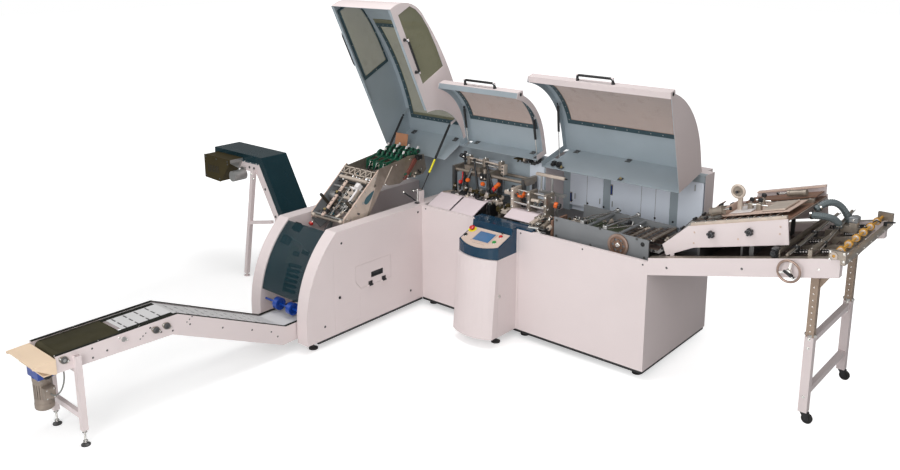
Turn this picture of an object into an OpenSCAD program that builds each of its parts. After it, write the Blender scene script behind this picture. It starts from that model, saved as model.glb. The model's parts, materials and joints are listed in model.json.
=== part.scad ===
// Perfect binding machine: main unit with three gull-wing covers, folding unit,
// console, infeed conveyor, waste conveyor and inclined sheet feeder.
// X runs along the front of the main unit, Y away from the operator, Z up.
// The origin is the floor point under the front right levelling foot.

/* [Main unit] */
// Length of the main unit along its front
unit_l = 2243; // [1900:1:2600]
// Depth of the main unit at its right end
unit_d = 1081; // [1040:1:1300]
// Height of the casing panels' top edge above the floor
panel_top = 950; // [900:1:1000]
// Height of the casing's bottom edge above the floor
floor_gap = 70; // [50:1:90]
// Thickness of the painted sheet metal
sheet = 3; // [2:0.5:4]
// Distance of the corner feet from the casing's faces
foot_inset = 90; // [70:1:120]
// Radius of a levelling foot's pad
foot_r = 38; // [28:1:45]

/* [Rear wall] */
// Height of the covers' hinge line on the right section
hinge_z = 1440; // [1400:1:1500]
// Distance of the right section's rear wall from the front
rear_y = 900; // [860:1:940]
// Distance of the left section's rear wall from the front
rear_left_y = 615; // [580:1:650]
// Length of the right section, where the rear wall steps back
right_l = 1335; // [1250:1:1400]
// Width of a rear wall post
post_w = 70; // [50:1:90]

/* [Covers] */
// Opening angle of the right cover
right_open = 76; // [60:1:85]
// Opening angle of the middle cover
middle_open = 76; // [60:1:85]
// Opening angle of the left cover
left_open = 64; // [55:1:72]
// Radius of the right cover's curved front
right_r = 720; // [650:1:760]
// Radius of the middle cover's curved front
middle_r = 560; // [500:1:600]
// Radius of the left cover's front corner
left_r = 305; // [250:1:330]
// Thickness of the clear cover windows
pane = 4; // [3:0.5:6]
// Width of the window's riveted border
border = 45; // [30:1:60]
// Width of a bow handle between its feet
handle_w = 320; // [250:5:330]
// Radius of a bow handle's bar
handle_r = 9; // [7:0.5:12]

/* [Folding unit] */
// Overall width of the folding unit
fold_w = 721; // [680:1:800]
// Thickness of each hollow side wall
wall_t = 123; // [100:1:140]
// Distance that the side walls stand out in front of the main unit
fold_reach = 1370; // [1250:1:1500]
// Radius of the walls' curved front edge
front_r = 930; // [850:1:1000]
// Slope of the folding mechanism
fold_slope = 40; // [35:1:45]

/* [Console] */
// Width of the console
console_w = 410; // [380:1:450]
// Distance of the console's right side from the right end of the unit
console_x = 1190; // [1100:1:1300]
// Depth of the console's straight sides
console_d = 250; // [220:1:300]
// Bulge of the curved door in front of the sides
bulge = 125; // [90:1:140]
// Height at which the console's dark head begins
head_z = 745; // [700:1:780]

/* [Infeed conveyor] */
// Length of the level table
table_l = 880; // [700:1:1100]
// Height of the table's top edge
table_z = 671; // [600:1:720]
// Height of the low stretch in the folding unit's throat
throat_z = 246; // [220:1:280]
// Width over the side plates
conveyor_w = 360; // [320:1:400]
// Radius of the drive roller
roller_r = 28; // [22:1:34]

/* [Sheet feeder] */
// Length of the two inclined beams
beam_l = 1325; // [1200:1:1450]
// Slope of the beams
beam_slope = 13.3; // [10:0.1:16]
// Height of a beam's side
beam_h = 132; // [110:1:150]
// Half side of a leg's outer tube
leg_half = 30; // [25:1:35]
// Radius of a castor wheel
castor_r = 38; // [32:1:42]
// Radius of the chrome handwheel
handwheel_r = 72; // [55:1:85]

/* [Waste conveyor] */
// Width of the waste conveyor
waste_w = 300; // [260:1:340]
// Height of its upper end
waste_z = 1250; // [1150:1:1320]
// Slope of its incline
waste_slope = 60; // [55:1:65]

/* [Hidden] */
$fn = 48;
play = 0.3;          // gap between parts on different bodies
fit = 0.06;          // radial running clearance

x_left = -unit_l;                    // left end of the main unit
wall_in = x_left - wall_t;           // inner face of the near wall
fold_x = x_left - fold_w;            // outer face of the far wall
far_in = fold_x + wall_t;            // inner face of the far wall
mid_x = (wall_in + far_in) / 2;      // middle of the folding unit
step_x = -right_l;                   // where the rear wall steps
bed_z = panel_top - 60;              // top of the machine bed
rail = 50;                           // side of the base rails
module datum() translate([foot_inset, -foot_inset, 0]) children();

function arc(cy, cz, r, a0, a1, n) =
    [for (i = [0:n]) let (a = a0 + (a1 - a0) * i / n) [cy + r * cos(a), cz + r * sin(a)]];
function turned(v) = [for (i = [len(v) - 1:-1:0]) v[i]];

// Profile in (y, z), extruded along X
module xprism(x0, x1) translate([x0, 0, 0]) rotate([90, 0, 90]) linear_extrude(x1 - x0) children();
// Profile in (x, z), extruded along Y
module yprism(y0, y1) translate([0, y1, 0]) rotate([90, 0, 0]) linear_extrude(y1 - y0) children();
module block(a, b) translate(a) cube(b - a);
module rod(p, q, r, n = 48) {
    d = q - p;
    translate(p) rotate([0, acos(d[2] / norm(d)), atan2(d[1], d[0])]) cylinder(r = r, h = norm(d), $fn = n);
}
// Square tube along X, Y or Z between two corners, walls of t
module square_tube(a, b, axis, t = 4) {
    grow = [for (i = [0:2]) i == axis ? -1 : t];
    difference() {
        block(a, b);
        block(a + grow, b - grow);
    }
}
module foot(x, y, top) translate([x, y, 0]) {
    cylinder(r = foot_r, h = 10);
    translate([0, 0, 10]) cylinder(r1 = foot_r, r2 = 16, h = 10, $fn = 32);
    cylinder(r = 9, h = top);
    translate([0, 0, top - 12]) cylinder(r = 18, h = 12, $fn = 6);
}

// ---------------------------------------------------------------- main unit
feet = [[-foot_inset, foot_inset], [-1150, foot_inset], [x_left + 60, foot_inset],
        [-foot_inset, unit_d - 60], [step_x + 60, unit_d - 60], [step_x - 200, rear_left_y - 60],
        [x_left + 60, rear_left_y - 60], [wall_in + wall_t / 2, 110 - fold_reach],
        [far_in - wall_t / 2, 110 - fold_reach], [far_in - wall_t / 2, rear_left_y - 60],
        [-console_x - 60, 60 - console_d], [60 - console_x - console_w, 60 - console_d]];

module base_frame() color("dimgray") datum() {
    for (p = feet) foot(p[0], p[1], floor_gap);
    low = floor_gap;
    back = unit_d - sheet;
    left_back = rear_left_y - sheet;
    square_tube([x_left, sheet, low], [-sheet, sheet + rail, low + rail], 0);
    square_tube([step_x + sheet, back - rail, low], [-sheet, back, low + rail], 0);
    square_tube([x_left, left_back - rail, low], [step_x + sheet, left_back, low + rail], 0);
    for (x = [-sheet - rail, step_x + sheet, x_left])
        square_tube([x, sheet + rail, low], [x + rail, (x < step_x ? left_back : back) - rail, low + rail], 1);
    block([x_left + rail, sheet + rail, low], [-sheet - rail, left_back - rail, low + 2]);
    block([step_x + rail, left_back - rail, low], [-sheet - rail, back - rail, low + 2]);
}

// Front casing: three panels with folded edges, one on each side of the console and one behind it
seams = [x_left, -console_x - console_w - 20, 20 - console_x, 0];
module front_panel() color("whitesmoke") datum() {
    for (i = [0:2]) {
        a = seams[i] + (i > 0 ? 1 : 0);
        b = seams[i + 1] - (i < 2 ? 1 : 0);
        block([a, 0, floor_gap], [b, sheet, panel_top]);
        block([a, 0, panel_top - sheet], [min(b, -sheet), 28, panel_top]);
    }
}

// Right end panel with its chamfered rear upright, the rear casings and the cabinet behind
module end_panels() color("whitesmoke") datum() {
    chamfer = 90;
    xprism(-sheet, 0) polygon([[sheet, floor_gap], [unit_d, floor_gap], [unit_d, hinge_z - 20],
        [rear_y + 20, hinge_z - 20], [rear_y + 20, panel_top + 120], [rear_y - chamfer, panel_top + 20],
        [rear_y - chamfer - 30, panel_top], [sheet, panel_top]]);
    block([step_x, unit_d - sheet, floor_gap], [-sheet, unit_d, hinge_z - 20]);
    block([step_x, rear_left_y, floor_gap], [step_x + sheet, unit_d - sheet, hinge_z - 20]);
    block([x_left, rear_left_y - sheet, floor_gap], [step_x + sheet, rear_left_y, panel_top]);
    block([step_x + sheet, rear_y + post_w, hinge_z - 20 - sheet], [-sheet, unit_d - sheet, hinge_z - 20]);
    difference() {
        block([-620, unit_d, hinge_z - 300], [-60, unit_d + 95, hinge_z - 20]);
        block([-617, unit_d + sheet, hinge_z - 297], [-63, unit_d + 92, hinge_z - 23]);
    }
}

// Rear wall: posts, top and middle rails, doors with a centre joint, and the low infeed side plates
posts = [step_x + sheet, -920, -290];
module rear_frame() color("slategray") datum() {
    top = hinge_z - 20;
    for (x = posts) difference() {
        block([x, rear_y, bed_z], [x + post_w, rear_y + post_w, top]);
        block([x + sheet, rear_y + sheet, bed_z - 1], [x + post_w - sheet, rear_y + post_w + 1, top - sheet]);
    }
    difference() {
        block([step_x + sheet + post_w, rear_y, top - 60], [-sheet, rear_y + post_w, top]);
        block([step_x + post_w, rear_y + sheet, top - 57], [-2 * sheet, rear_y + post_w + 1, top - sheet]);
    }
    block([step_x + post_w + sheet, rear_y, bed_z + 150], [-sheet, rear_y + 40, bed_z + 190]);
    // doors between the posts, set back behind the rails
    for (span = [[step_x + sheet + post_w, -920], [-920 + post_w, -290], [-290 + post_w, -sheet]]) {
        mid = (span[0] + span[1]) / 2;
        block([span[0], rear_y + 42, bed_z], [mid - 1, rear_y + 45, top - 60]);
        block([mid + 1, rear_y + 42, bed_z], [span[1], rear_y + 45, top - 60]);
    }
    // wall behind the left and middle covers
    difference() {
        block([fold_x, rear_left_y - sheet, panel_top], [step_x, rear_left_y + 30, hinge_z - 20]);
        block([fold_x + sheet, rear_left_y, panel_top - 1], [step_x - sheet, rear_left_y + 31, hinge_z - 50]);
    }
    block([far_in, rear_left_y - sheet, floor_gap], [wall_in, rear_left_y, panel_top + 1]);
    for (x = right_knuckles) hinge_lugs(x, right_hinge);
    for (x = concat(middle_knuckles, left_knuckles)) hinge_lugs(x, left_hinge);
    // brackets that hold the right and middle gas struts
    strut_bracket(right_strut_x + 9, right_p, rear_y);
    for (x = [middle_strut_x[0] - 9, middle_strut_x[1] + 9]) strut_bracket(x, middle_p, rear_left_y - sheet);
    // infeed side plates with their two tie bars
    for (y = [116, 560]) difference() {
        yprism(y, y + 12) polygon([[-905, bed_z], [-905, panel_top + 135], [-60, panel_top + 118], [-60, bed_z]]);
        rod([disc_at[0], y - 1, disc_at[2]], [disc_at[0], y + 13, disc_at[2]], 10 + fit);
    }
    for (x = [-620, -330]) rod([x, 128, panel_top + 105], [x, 560, panel_top + 105], 12, 32);
}

// Bed plate with the sloping white guide sheets along the front
guide_back = [[215, panel_top + 82], [330, panel_top + 70], [330, bed_z], [326, bed_z], [326, panel_top + 66],
              [215, panel_top + 78]];
module machine_bed() color("silver") datum() {
    block([x_left, sheet, bed_z - 6], [-sheet, rear_left_y - sheet, bed_z]);
    block([step_x + sheet, rear_left_y - sheet, bed_z - 6], [-sheet, rear_y + 42, bed_z]);
    for (x = [x_left + 43, x_left + 313])
        xprism(x, x + 250) polygon(concat([[30, panel_top - 8], [30, panel_top + 2]], guide_back));
    xprism(con_l + 195, con_l + 470) polygon(concat([[108, panel_top + 30], [108, panel_top + 36]], guide_back));
}

// ------------------------------------------------------------- folding unit
wall_front = -fold_reach;
arc_y = wall_front + front_r;                       // centre of the curved front edge
arc_z = 231;
arc_end = 180 - asin((panel_top - arc_z) / front_r);
function wall_line(s, y_back) = concat(arc(arc_y, arc_z, front_r - s, 180, 180 - asin((panel_top - s - arc_z) /
    (front_r - s)), 14), [[y_back, panel_top - s], [y_back, floor_gap + s], [wall_front + s, floor_gap + s]]);
module hollow_wall(x0, x1, y_back) difference() {
    xprism(x0, x1) polygon(wall_line(0, y_back));
    xprism(x0 + sheet, x1 - sheet) polygon(wall_line(sheet, y_back - sheet));
}

// Stand of a gas strut's foot, with its stud towards the middle of the cover
module strut_stand(x, p, s) {
    yprism(p[0] - 40, p[0] + 20) polygon([[x, panel_top - 1], [x, p[1] + 14], [x + 10, p[1] + 14],
        [x + 10, panel_top - 1]]);
    rod([x + (s == 0 ? 1 : 9), p[0], p[1]], [x + (s == 0 ? 26 : -16), p[0], p[1]], stud_r, 32);
}
hatch = [[-825, 455], [-825, 595], [-410, 595], [-410, 390], [-770, 390]];
hatch_pins = [-660, -500];
slot = [[-1000, 135], [-1000, 300], [-780, 350], [-780, 135]];
module near_wall() color("whitesmoke") datum() {
    difference() {
        hollow_wall(wall_in, x_left, rear_left_y);
        xprism(x_left - sheet - 1, x_left + 1)
            polygon([for (p = hatch) p + [p[0] < -600 ? -2 : 2, p[1] < 500 ? -2 : 2]]);
        xprism(x_left - 1.5, x_left + 1) polygon(slot);
        block([x_left - 1.2, -1072, 110], [x_left + 1, -1069, 790]);
        rod([x_left - sheet - 1, -1013, 382], [x_left + 1, -1013, 382], 8 + fit);
    }
    // pins of the hatch between their lugs
    for (y = hatch_pins) {
        rod([hinge_x, y - 34, hatch_z - 1], [hinge_x, y + 34, hatch_z - 1], 3);
        for (s = [-34, 22 + play]) {
            block([x_left, y + s, hatch_z - 10], [hinge_x + 5, y + s + 11.7, hatch_z - 3]);
            rod([hinge_x, y + s, hatch_z - 1], [hinge_x, y + s + 11.7, hatch_z - 1], 5);
        }
    }
    strut_stand(left_strut_x[1] + 9, left_p, 1);
}

module far_wall() color("whitesmoke") datum() {
    hollow_wall(fold_x, far_in, rear_left_y);
    strut_stand(left_strut_x[0] - 19, left_p, 0);
}

// Curved tinted guard between the walls, with its pull slot
guard_r = front_r - 12;
module throat_guard() color("midnightblue") datum() difference() {
    xprism(far_in, wall_in) polygon(concat(arc(arc_y, arc_z, guard_r, 169, arc_end + 1, 14),
        turned(arc(arc_y, arc_z, guard_r - 6, 169, arc_end + 1, 14))));
    translate([mid_x, arc_y, arc_z]) rotate([56, 0, 0]) translate([-40, -guard_r - 20, -14]) cube([80, 40, 28]);
}

wheel_y = wall_front + 62;
wheel_z = throat_z + 64;
module throat_wheels() color("royalblue") datum() {
    rod([far_in + play, wheel_y, wheel_z], [wall_in - play, wheel_y, wheel_z], 9);
    for (x = [mid_x - 65, mid_x + 105]) difference() {
        rod([x - 24, wheel_y, wheel_z], [x + 24, wheel_y, wheel_z], 52);
        for (s = [-1, 1]) rod([x + s * 12, wheel_y, wheel_z], [x + s * 26, wheel_y, wheel_z], 36);
    }
}

// Hatch in the near wall, hinged along its lower edge, with a recessed pull
hinge_x = x_left + 9;
hatch_z = hatch[3][1];
module hatch_door() color("whitesmoke") datum() {
    difference() {
        xprism(x_left - sheet, x_left) polygon(hatch);
        block([x_left - 10, -649, 450], [x_left + 1, -507, 500]);
        for (y = hatch_pins) block([x_left - 10, y - 24, hatch_z - 5], [x_left + 1, y + 24, hatch_z + 4]);
    }
    difference() {
        block([x_left - 30, -655, 444], [x_left - sheet, -501, 506]);
        block([x_left - 27, -649, 450], [x_left, -507, 500]);
    }
    for (y = hatch_pins) difference() {
        union() {
            rod([hinge_x, y - 22, hatch_z - 1], [hinge_x, y + 22, hatch_z - 1], 7);
            block([x_left - sheet, y - 22, hatch_z - 1], [hinge_x, y + 22, hatch_z + 6]);
            block([x_left, y - 22, hatch_z + 3], [x_left + 4, y + 22, hatch_z + 34]);
        }
        rod([hinge_x, y - 30, hatch_z - 1], [hinge_x, y + 30, hatch_z - 1], 3 + fit);
    }
}

module panel_lock() color("dimgray") datum() {
    rod([x_left - 14, -1013, 382], [x_left + 3, -1013, 382], 8);
    rod([x_left, -1013, 382], [x_left + 3, -1013, 382], 12);
    block([x_left + 3, -1016, 374], [x_left + 12, -1010, 390]);
    block([x_left - 14, -1018, 352], [x_left - 10, -1008, 382]);
}

// ------------------------------------------------------ folding mechanism
// The mechanism lies in a plane that climbs away from the operator.
deck_y = -760;                       // low end of the sloping side plates
deck_z = 900;
deck_l = 560;                        // length of the plates along the slope
plate_near = wall_in - 40;
plate_far = far_in + 25;
mag_near = plate_near - 60;            // near side plate of the stack magazine
grip_u = 150;                        // shaft that carries the two grips
grip_h = -20;
module on_slope() translate([0, deck_y, deck_z]) rotate([fold_slope, 0, 0]) children();
function slope_yz(u, h) = [deck_y + u * cos(fold_slope) - h * sin(fold_slope),
                           deck_z + u * sin(fold_slope) + h * cos(fold_slope)];
module folder_frame() color("darkgray") datum() {
    for (x = [plate_far, plate_near - 10]) on_slope() difference() {
        xprism(x, x + 10) polygon([[-30, -110], [-30, 30], [10, 70], [deck_l, 70], [deck_l, -60], [120, -160]]);
        for (u = [60, 250, 440]) rod([x - 1, u, 0], [x + 11, u, 0], 14 + fit);
        rod([x - 1, grip_u, grip_h], [x + 11, grip_u, grip_h], 9 + fit);
    }
    on_slope() for (u = [20, 330, 520]) rod([plate_far + 10, u, 48], [plate_near - 10, u, 48], 9);
    on_slope() block([plate_far + 10, 150, -70], [plate_near - 10, 500, -62]);
    // stands that carry the plates on the cross member between the walls
    block([far_in, deck_y + 120, 700], [wall_in, deck_y + 180, 760]);
    for (x = [plate_far, plate_near - 10])
        xprism(x, x + 10) polygon([[deck_y + 120, 760],
            [deck_y + 180, 760], slope_yz(160, -148), slope_yz(120, -159)]);
    // stack magazine: side plate and back guide of the gatherer
    for (x = [mag_near, plate_far + 6]) xprism(x, x + 6) polygon([[-412, 1248], [-412, 1292], [-60, 1335],
        [60, 1358], [265, 1335], [300, 1190], [250, 1150], [20, 1150], [-60, 1120], [-200, 1130]]);
    xprism(plate_far + 12, mag_near) polygon([[-56, 1322], [-56, 1326], [200, 1346], [200, 1342]]);
    block([plate_far + 12, 180, 1160], [mag_near, 192, 1330]);
    for (p = [[-300, 1215], [-20, 1165]]) rod([plate_far + 12, p[0], p[1]], [mag_near, p[0], p[1]], 8, 32);
}

module fold_rollers() color("silver") datum() on_slope() {
    rod([plate_far + play, 250, 0], [plate_near - play, 250, 0], 14);
    rod([plate_far + 14, 250, 0], [plate_near - 14, 250, 0], 40);
}

module knob_shaft() color("dimgray") datum() on_slope() {
    rod([plate_far - 14, grip_u, grip_h], [plate_near + 14, grip_u, grip_h], 9);
    for (x = [plate_far + 70, plate_near - 32]) {
        rod([x - 16, grip_u, grip_h], [x + 16, grip_u, grip_h], 18);
        rod([x, grip_u, grip_h], [x, grip_u, grip_h + 175], 13, 32);
    }
}

green_y = -116;
green_z = 1262;
green_r = 46;
module green_wheels() color("darkgreen") datum() {
    rod([plate_far + 12 + play, green_y, green_z], [mag_near - play, green_y, green_z], 9);
    step = (mag_near - plate_far - 12) / 4;
    for (i = [0:3]) {
        x = plate_far + 12 + (i + 0.5) * step;
        difference() {
            rod([x - 17, green_y, green_z], [x + 17, green_y, green_z], green_r);
            for (k = [0:4]) rod([x - 18, green_y + 28 * cos(72 * k), green_z + 28 * sin(72 * k)],
                [x + 18, green_y + 28 * cos(72 * k), green_z + 28 * sin(72 * k)], 10, 24);
        }
    }
}

// Clamp station and transport of the main unit
module binding_station() color("dimgray") datum() {
    a = x_left + 63;
    b = step_x;
    // carriage rails on their posts
    for (y = [390, 530]) rod([a, y, bed_z + 330], [b - 45, y, bed_z + 330], 14, 32);
    for (x = [a, (a + b - 65) / 2 + 10, b - 65]) difference() {
        block([x - 14, 360, bed_z], [x + 14, 560, bed_z + 365]);
        block([x - 15, 400, bed_z + 60], [x + 15, 520, bed_z + 300]);
    }
    // clamp head
    block([a + 100, 400, bed_z + 290], [a + 280, 520, bed_z + 380]);
    block([a + 70, 350, bed_z], [a + 320, 370, bed_z + 150]);
    for (x = [a + 120, a + 190, a + 260]) rod([x, 334, bed_z + 110], [x, 350, bed_z + 110], 22, 24);
    // glue tank and milling housing
    block([a + 450, 340, bed_z], [a + 680, 560, bed_z + 120]);
    rod([a + 500, 334, bed_z + 80], [a + 500, 340, bed_z + 80], 32);
    rod([a + 590, 310, bed_z + 80], [a + 590, 340, bed_z + 80], 32);
    // stack stop: T-shaped bar on two posts
    for (x = [b + 155, b + 255]) rod([x, 420, bed_z], [x, 420, bed_z + 270], 10, 24);
    block([b + 75, 400, bed_z + 270], [b + 335, 440, bed_z + 290]);
    // roller bed of the cover feed
    for (x = [b + 125, b + 185, b + 245, b + 305]) rod([x, 120, bed_z + 60], [x, 300, bed_z + 60], 13, 24);
    for (y = [120, 300]) block([b + 95, y - 8, bed_z], [b + 335, y, bed_z + 80]);
}

// ------------------------------------------------------------------ console
con_r = -console_x;                  // right side of the console
con_l = -console_x - console_w;      // left side
door_deep = 73;                      // how far the door wraps round the sides at its foot
door_top = 12;                       // and at its head
bow_r = (pow(console_w / 2, 2) + pow(bulge / 2, 2)) / bulge;
// Plan of the curved front, its corners at y and drawn in by s
function bow(y, s) = let (c = y - bulge / 2 + bow_r, m = (con_l + con_r) / 2,
    a = asin((console_w / 2 - s) / (bow_r - s)))
    [for (i = [0:10]) let (t = 270 - a + 2 * a * i / 10) [m + (bow_r - s) * cos(t), c + (bow_r - s) * sin(t)]];
module bow_plan(y, s, back) polygon(concat(bow(y, s), [[con_r - s, back], [con_l + s, back]]));

module console_body() color("whitesmoke") datum() {
    for (x = [con_l, con_r - sheet]) block([x, 1 - console_d, floor_gap], [x + sheet, 0, head_z]);
    block([con_l + sheet, -8, floor_gap], [con_r - sheet, 0, head_z]);
    // floor of the cabinet behind the door, and the shelf with the drive units
    block([con_l + sheet, 1 - console_d, floor_gap], [con_r - sheet, -8, floor_gap + sheet]);
    block([con_l + sheet + 30, -90, 180], [con_r - sheet - 30, -8, 480]);
    // hinge leaf lugs on the left side
    for (z = [200, 600]) difference() {
        block([con_l - 14, 2 - console_d, z - 62], [con_l, 34 - console_d, z - 32]);
        rod([con_l - 7, 8 - console_d, z - 63], [con_l - 7, 8 - console_d, z - 31], 3 + fit, 24);
    }
}

door_pin = [con_l - 7, 8 - console_d];
module console_door() color("whitesmoke") datum() {
    low = floor_gap + 6;
    high = head_z - 3;
    lip = -console_d - 1;
    difference() {
        hull() {
            translate([0, 0, low]) linear_extrude(1) bow_plan(lip - door_deep, 0, lip);
            translate([0, 0, high - 1]) linear_extrude(1) bow_plan(lip - door_top, 0, lip);
        }
        hull() {
            translate([0, 0, low + sheet]) linear_extrude(1) bow_plan(lip - door_deep, sheet, lip + 5);
            translate([0, 0, high - 1 - sheet]) linear_extrude(1) bow_plan(lip - door_top, sheet, lip + 5);
        }
    }
    for (z = [200, 600]) {
        rod([door_pin[0], door_pin[1], z - 62], [door_pin[0], door_pin[1], z + 24], 3, 24);
        difference() {
            rod([door_pin[0], door_pin[1], z - 31.5], [door_pin[0], door_pin[1], z + 24], 7, 24);
            rod([door_pin[0], door_pin[1], z - 32], [door_pin[0], door_pin[1], z + 25], 3, 24);
        }
        block([con_l - 14, lip - 8, z - 20], [con_l - 10, door_pin[1], z + 20]);
        block([con_l - 14, lip - 8, z - 20], [con_l, lip - 4, z + 20]);
    }
}

// Dark head: its upper face slopes towards the operator
fascia_a = 19.2;
head_y = -70;                        // rear edge of the sloping face
head_top = panel_top + 15;
function slope_z(y) = head_top - 60 + (y - head_y) * tan(fascia_a);
// Solid of the head, drawn in by t for its hollow
module head_form(t) intersection() {
    xprism(con_l, con_r) polygon([[-450, head_z - (t > 0 ? 1 : 0)], [-450, slope_z(-450) - t],
        [head_y, slope_z(head_y) - t], [head_y + 8, head_top - t], [-t, head_top - t],
            [-t, head_z - (t > 0 ? 1 : 0)]]);
    translate([0, 0, head_z - 2]) linear_extrude(400) bow_plan(5 - console_d, t, -t);
}
module console_head() color("midnightblue") datum() {
    difference() {
        head_form(0);
        head_form(6);
        for (b = buttons) on_fascia(b[0], b[1]) translate([0, 0, -30]) cylinder(r = b[2] + 1, h = 31);
    }
    block([con_l - 40, 0, panel_top], [con_r + 150, 105, head_top]);
}

// Controls: [x, y, radius of the shank]
stop_at = [con_l + 38, -115, 11];
black_at = [con_l + 30, -197, 9];
green_at = [con_r - 78, -199, 9];
red_at = [con_r - 73, -118, 9];
buttons = [stop_at, black_at, green_at, red_at];
module on_fascia(x, y) translate([x, y, slope_z(y)]) rotate([fascia_a, 0, 0]) children();
module control_fascia() color("wheat") datum() {
    lip = 5 - console_d;
    difference() {
        intersection() {
            xprism(con_l, con_r) polygon([[-450, slope_z(-450)], [head_y - 4, slope_z(head_y - 4)],
                [head_y - 4, slope_z(head_y - 4) + 4.2], [-450, slope_z(-450) + 4.2]]);
            translate([0, 0, head_z]) linear_extrude(400) bow_plan(lip, 12, 0);
        }
        for (b = buttons) on_fascia(b[0], b[1]) translate([0, 0, -1]) cylinder(r = b[2] + fit, h = 12);
        on_fascia((con_l + con_r) / 2, -252) translate([-70, -2, 2]) cube([140, 4, 4]);
    }
    // yellow collar of the emergency stop, screen bezel, key switch
    on_fascia(stop_at[0], stop_at[1]) translate([0, 0, 3.5]) difference() {
        cylinder(r = 35, h = 3.5);
        translate([0, 0, -1]) cylinder(r = stop_at[2] + fit, h = 5);
    }
    on_fascia((con_l + con_r) / 2, -168) translate([-92, -72, 3.5]) difference() {
        cube([184, 144, 5.5]);
        translate([8, 8, 2.5]) cube([168, 128, 4]);
    }
    on_fascia(con_r - 84, -80) translate([0, 0, 3.5]) cylinder(r = 9, h = 5.5);
}

stop_r = 24;                         // head of the emergency stop
module push_button(at, cap_r, cap_h, travel) datum() on_fascia(at[0], at[1]) {
    translate([0, 0, -20]) cylinder(r = at[2], h = 24 + travel + play);
    translate([0, 0, 4 + travel + play]) cylinder(r = cap_r, h = cap_h);
}
module emergency_stop() color("red") datum() on_fascia(stop_at[0], stop_at[1]) {
    translate([0, 0, -20]) cylinder(r = stop_at[2], h = 45);
    translate([0, 0, 18]) cylinder(r1 = 18, r2 = stop_r, h = 6);
    translate([0, 0, 24]) cylinder(r = stop_r, h = 6);
    translate([0, 0, 30]) cylinder(r1 = stop_r, r2 = stop_r - 3, h = 4);
    translate([0, 0, 34]) cylinder(r1 = stop_r - 3, r2 = 12, h = 5);
}
module green_button() color("green") push_button(green_at, 16, 6, 4);
module red_button() color("red") push_button(red_at, 16, 6, 4);
module black_button() color("black") push_button(black_at, 16, 6, 4);

// --------------------------------------------------------- infeed conveyor
con_near = wall_in - 9;                      // outer face of the near side plate
con_far = con_near - conveyor_w;
side_t = 4;
tray_l = 150;
crest_y = -2423;
end_y = crest_y - table_l;
foot_y = -1477;                              // foot of the incline
inner_y = -1000;                             // end inside the folding unit
run = [[end_y, table_z], [crest_y, table_z], [foot_y, throat_z], [inner_y, throat_z]];
under = [[inner_y, throat_z - 130], [foot_y - 30, throat_z - 150], [crest_y - 50, table_z - 140],
         [end_y, table_z - 115]];
belt_t = 3;
roller_z = table_z - 8 - belt_t - play - roller_r;
drive_y = end_y + 52;
idler_y = crest_y - 420;
incline_a = atan((table_z - throat_z) / (foot_y - crest_y));
function along(p, dz) = [for (q = p) [q[0], q[1] + dz]];

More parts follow.
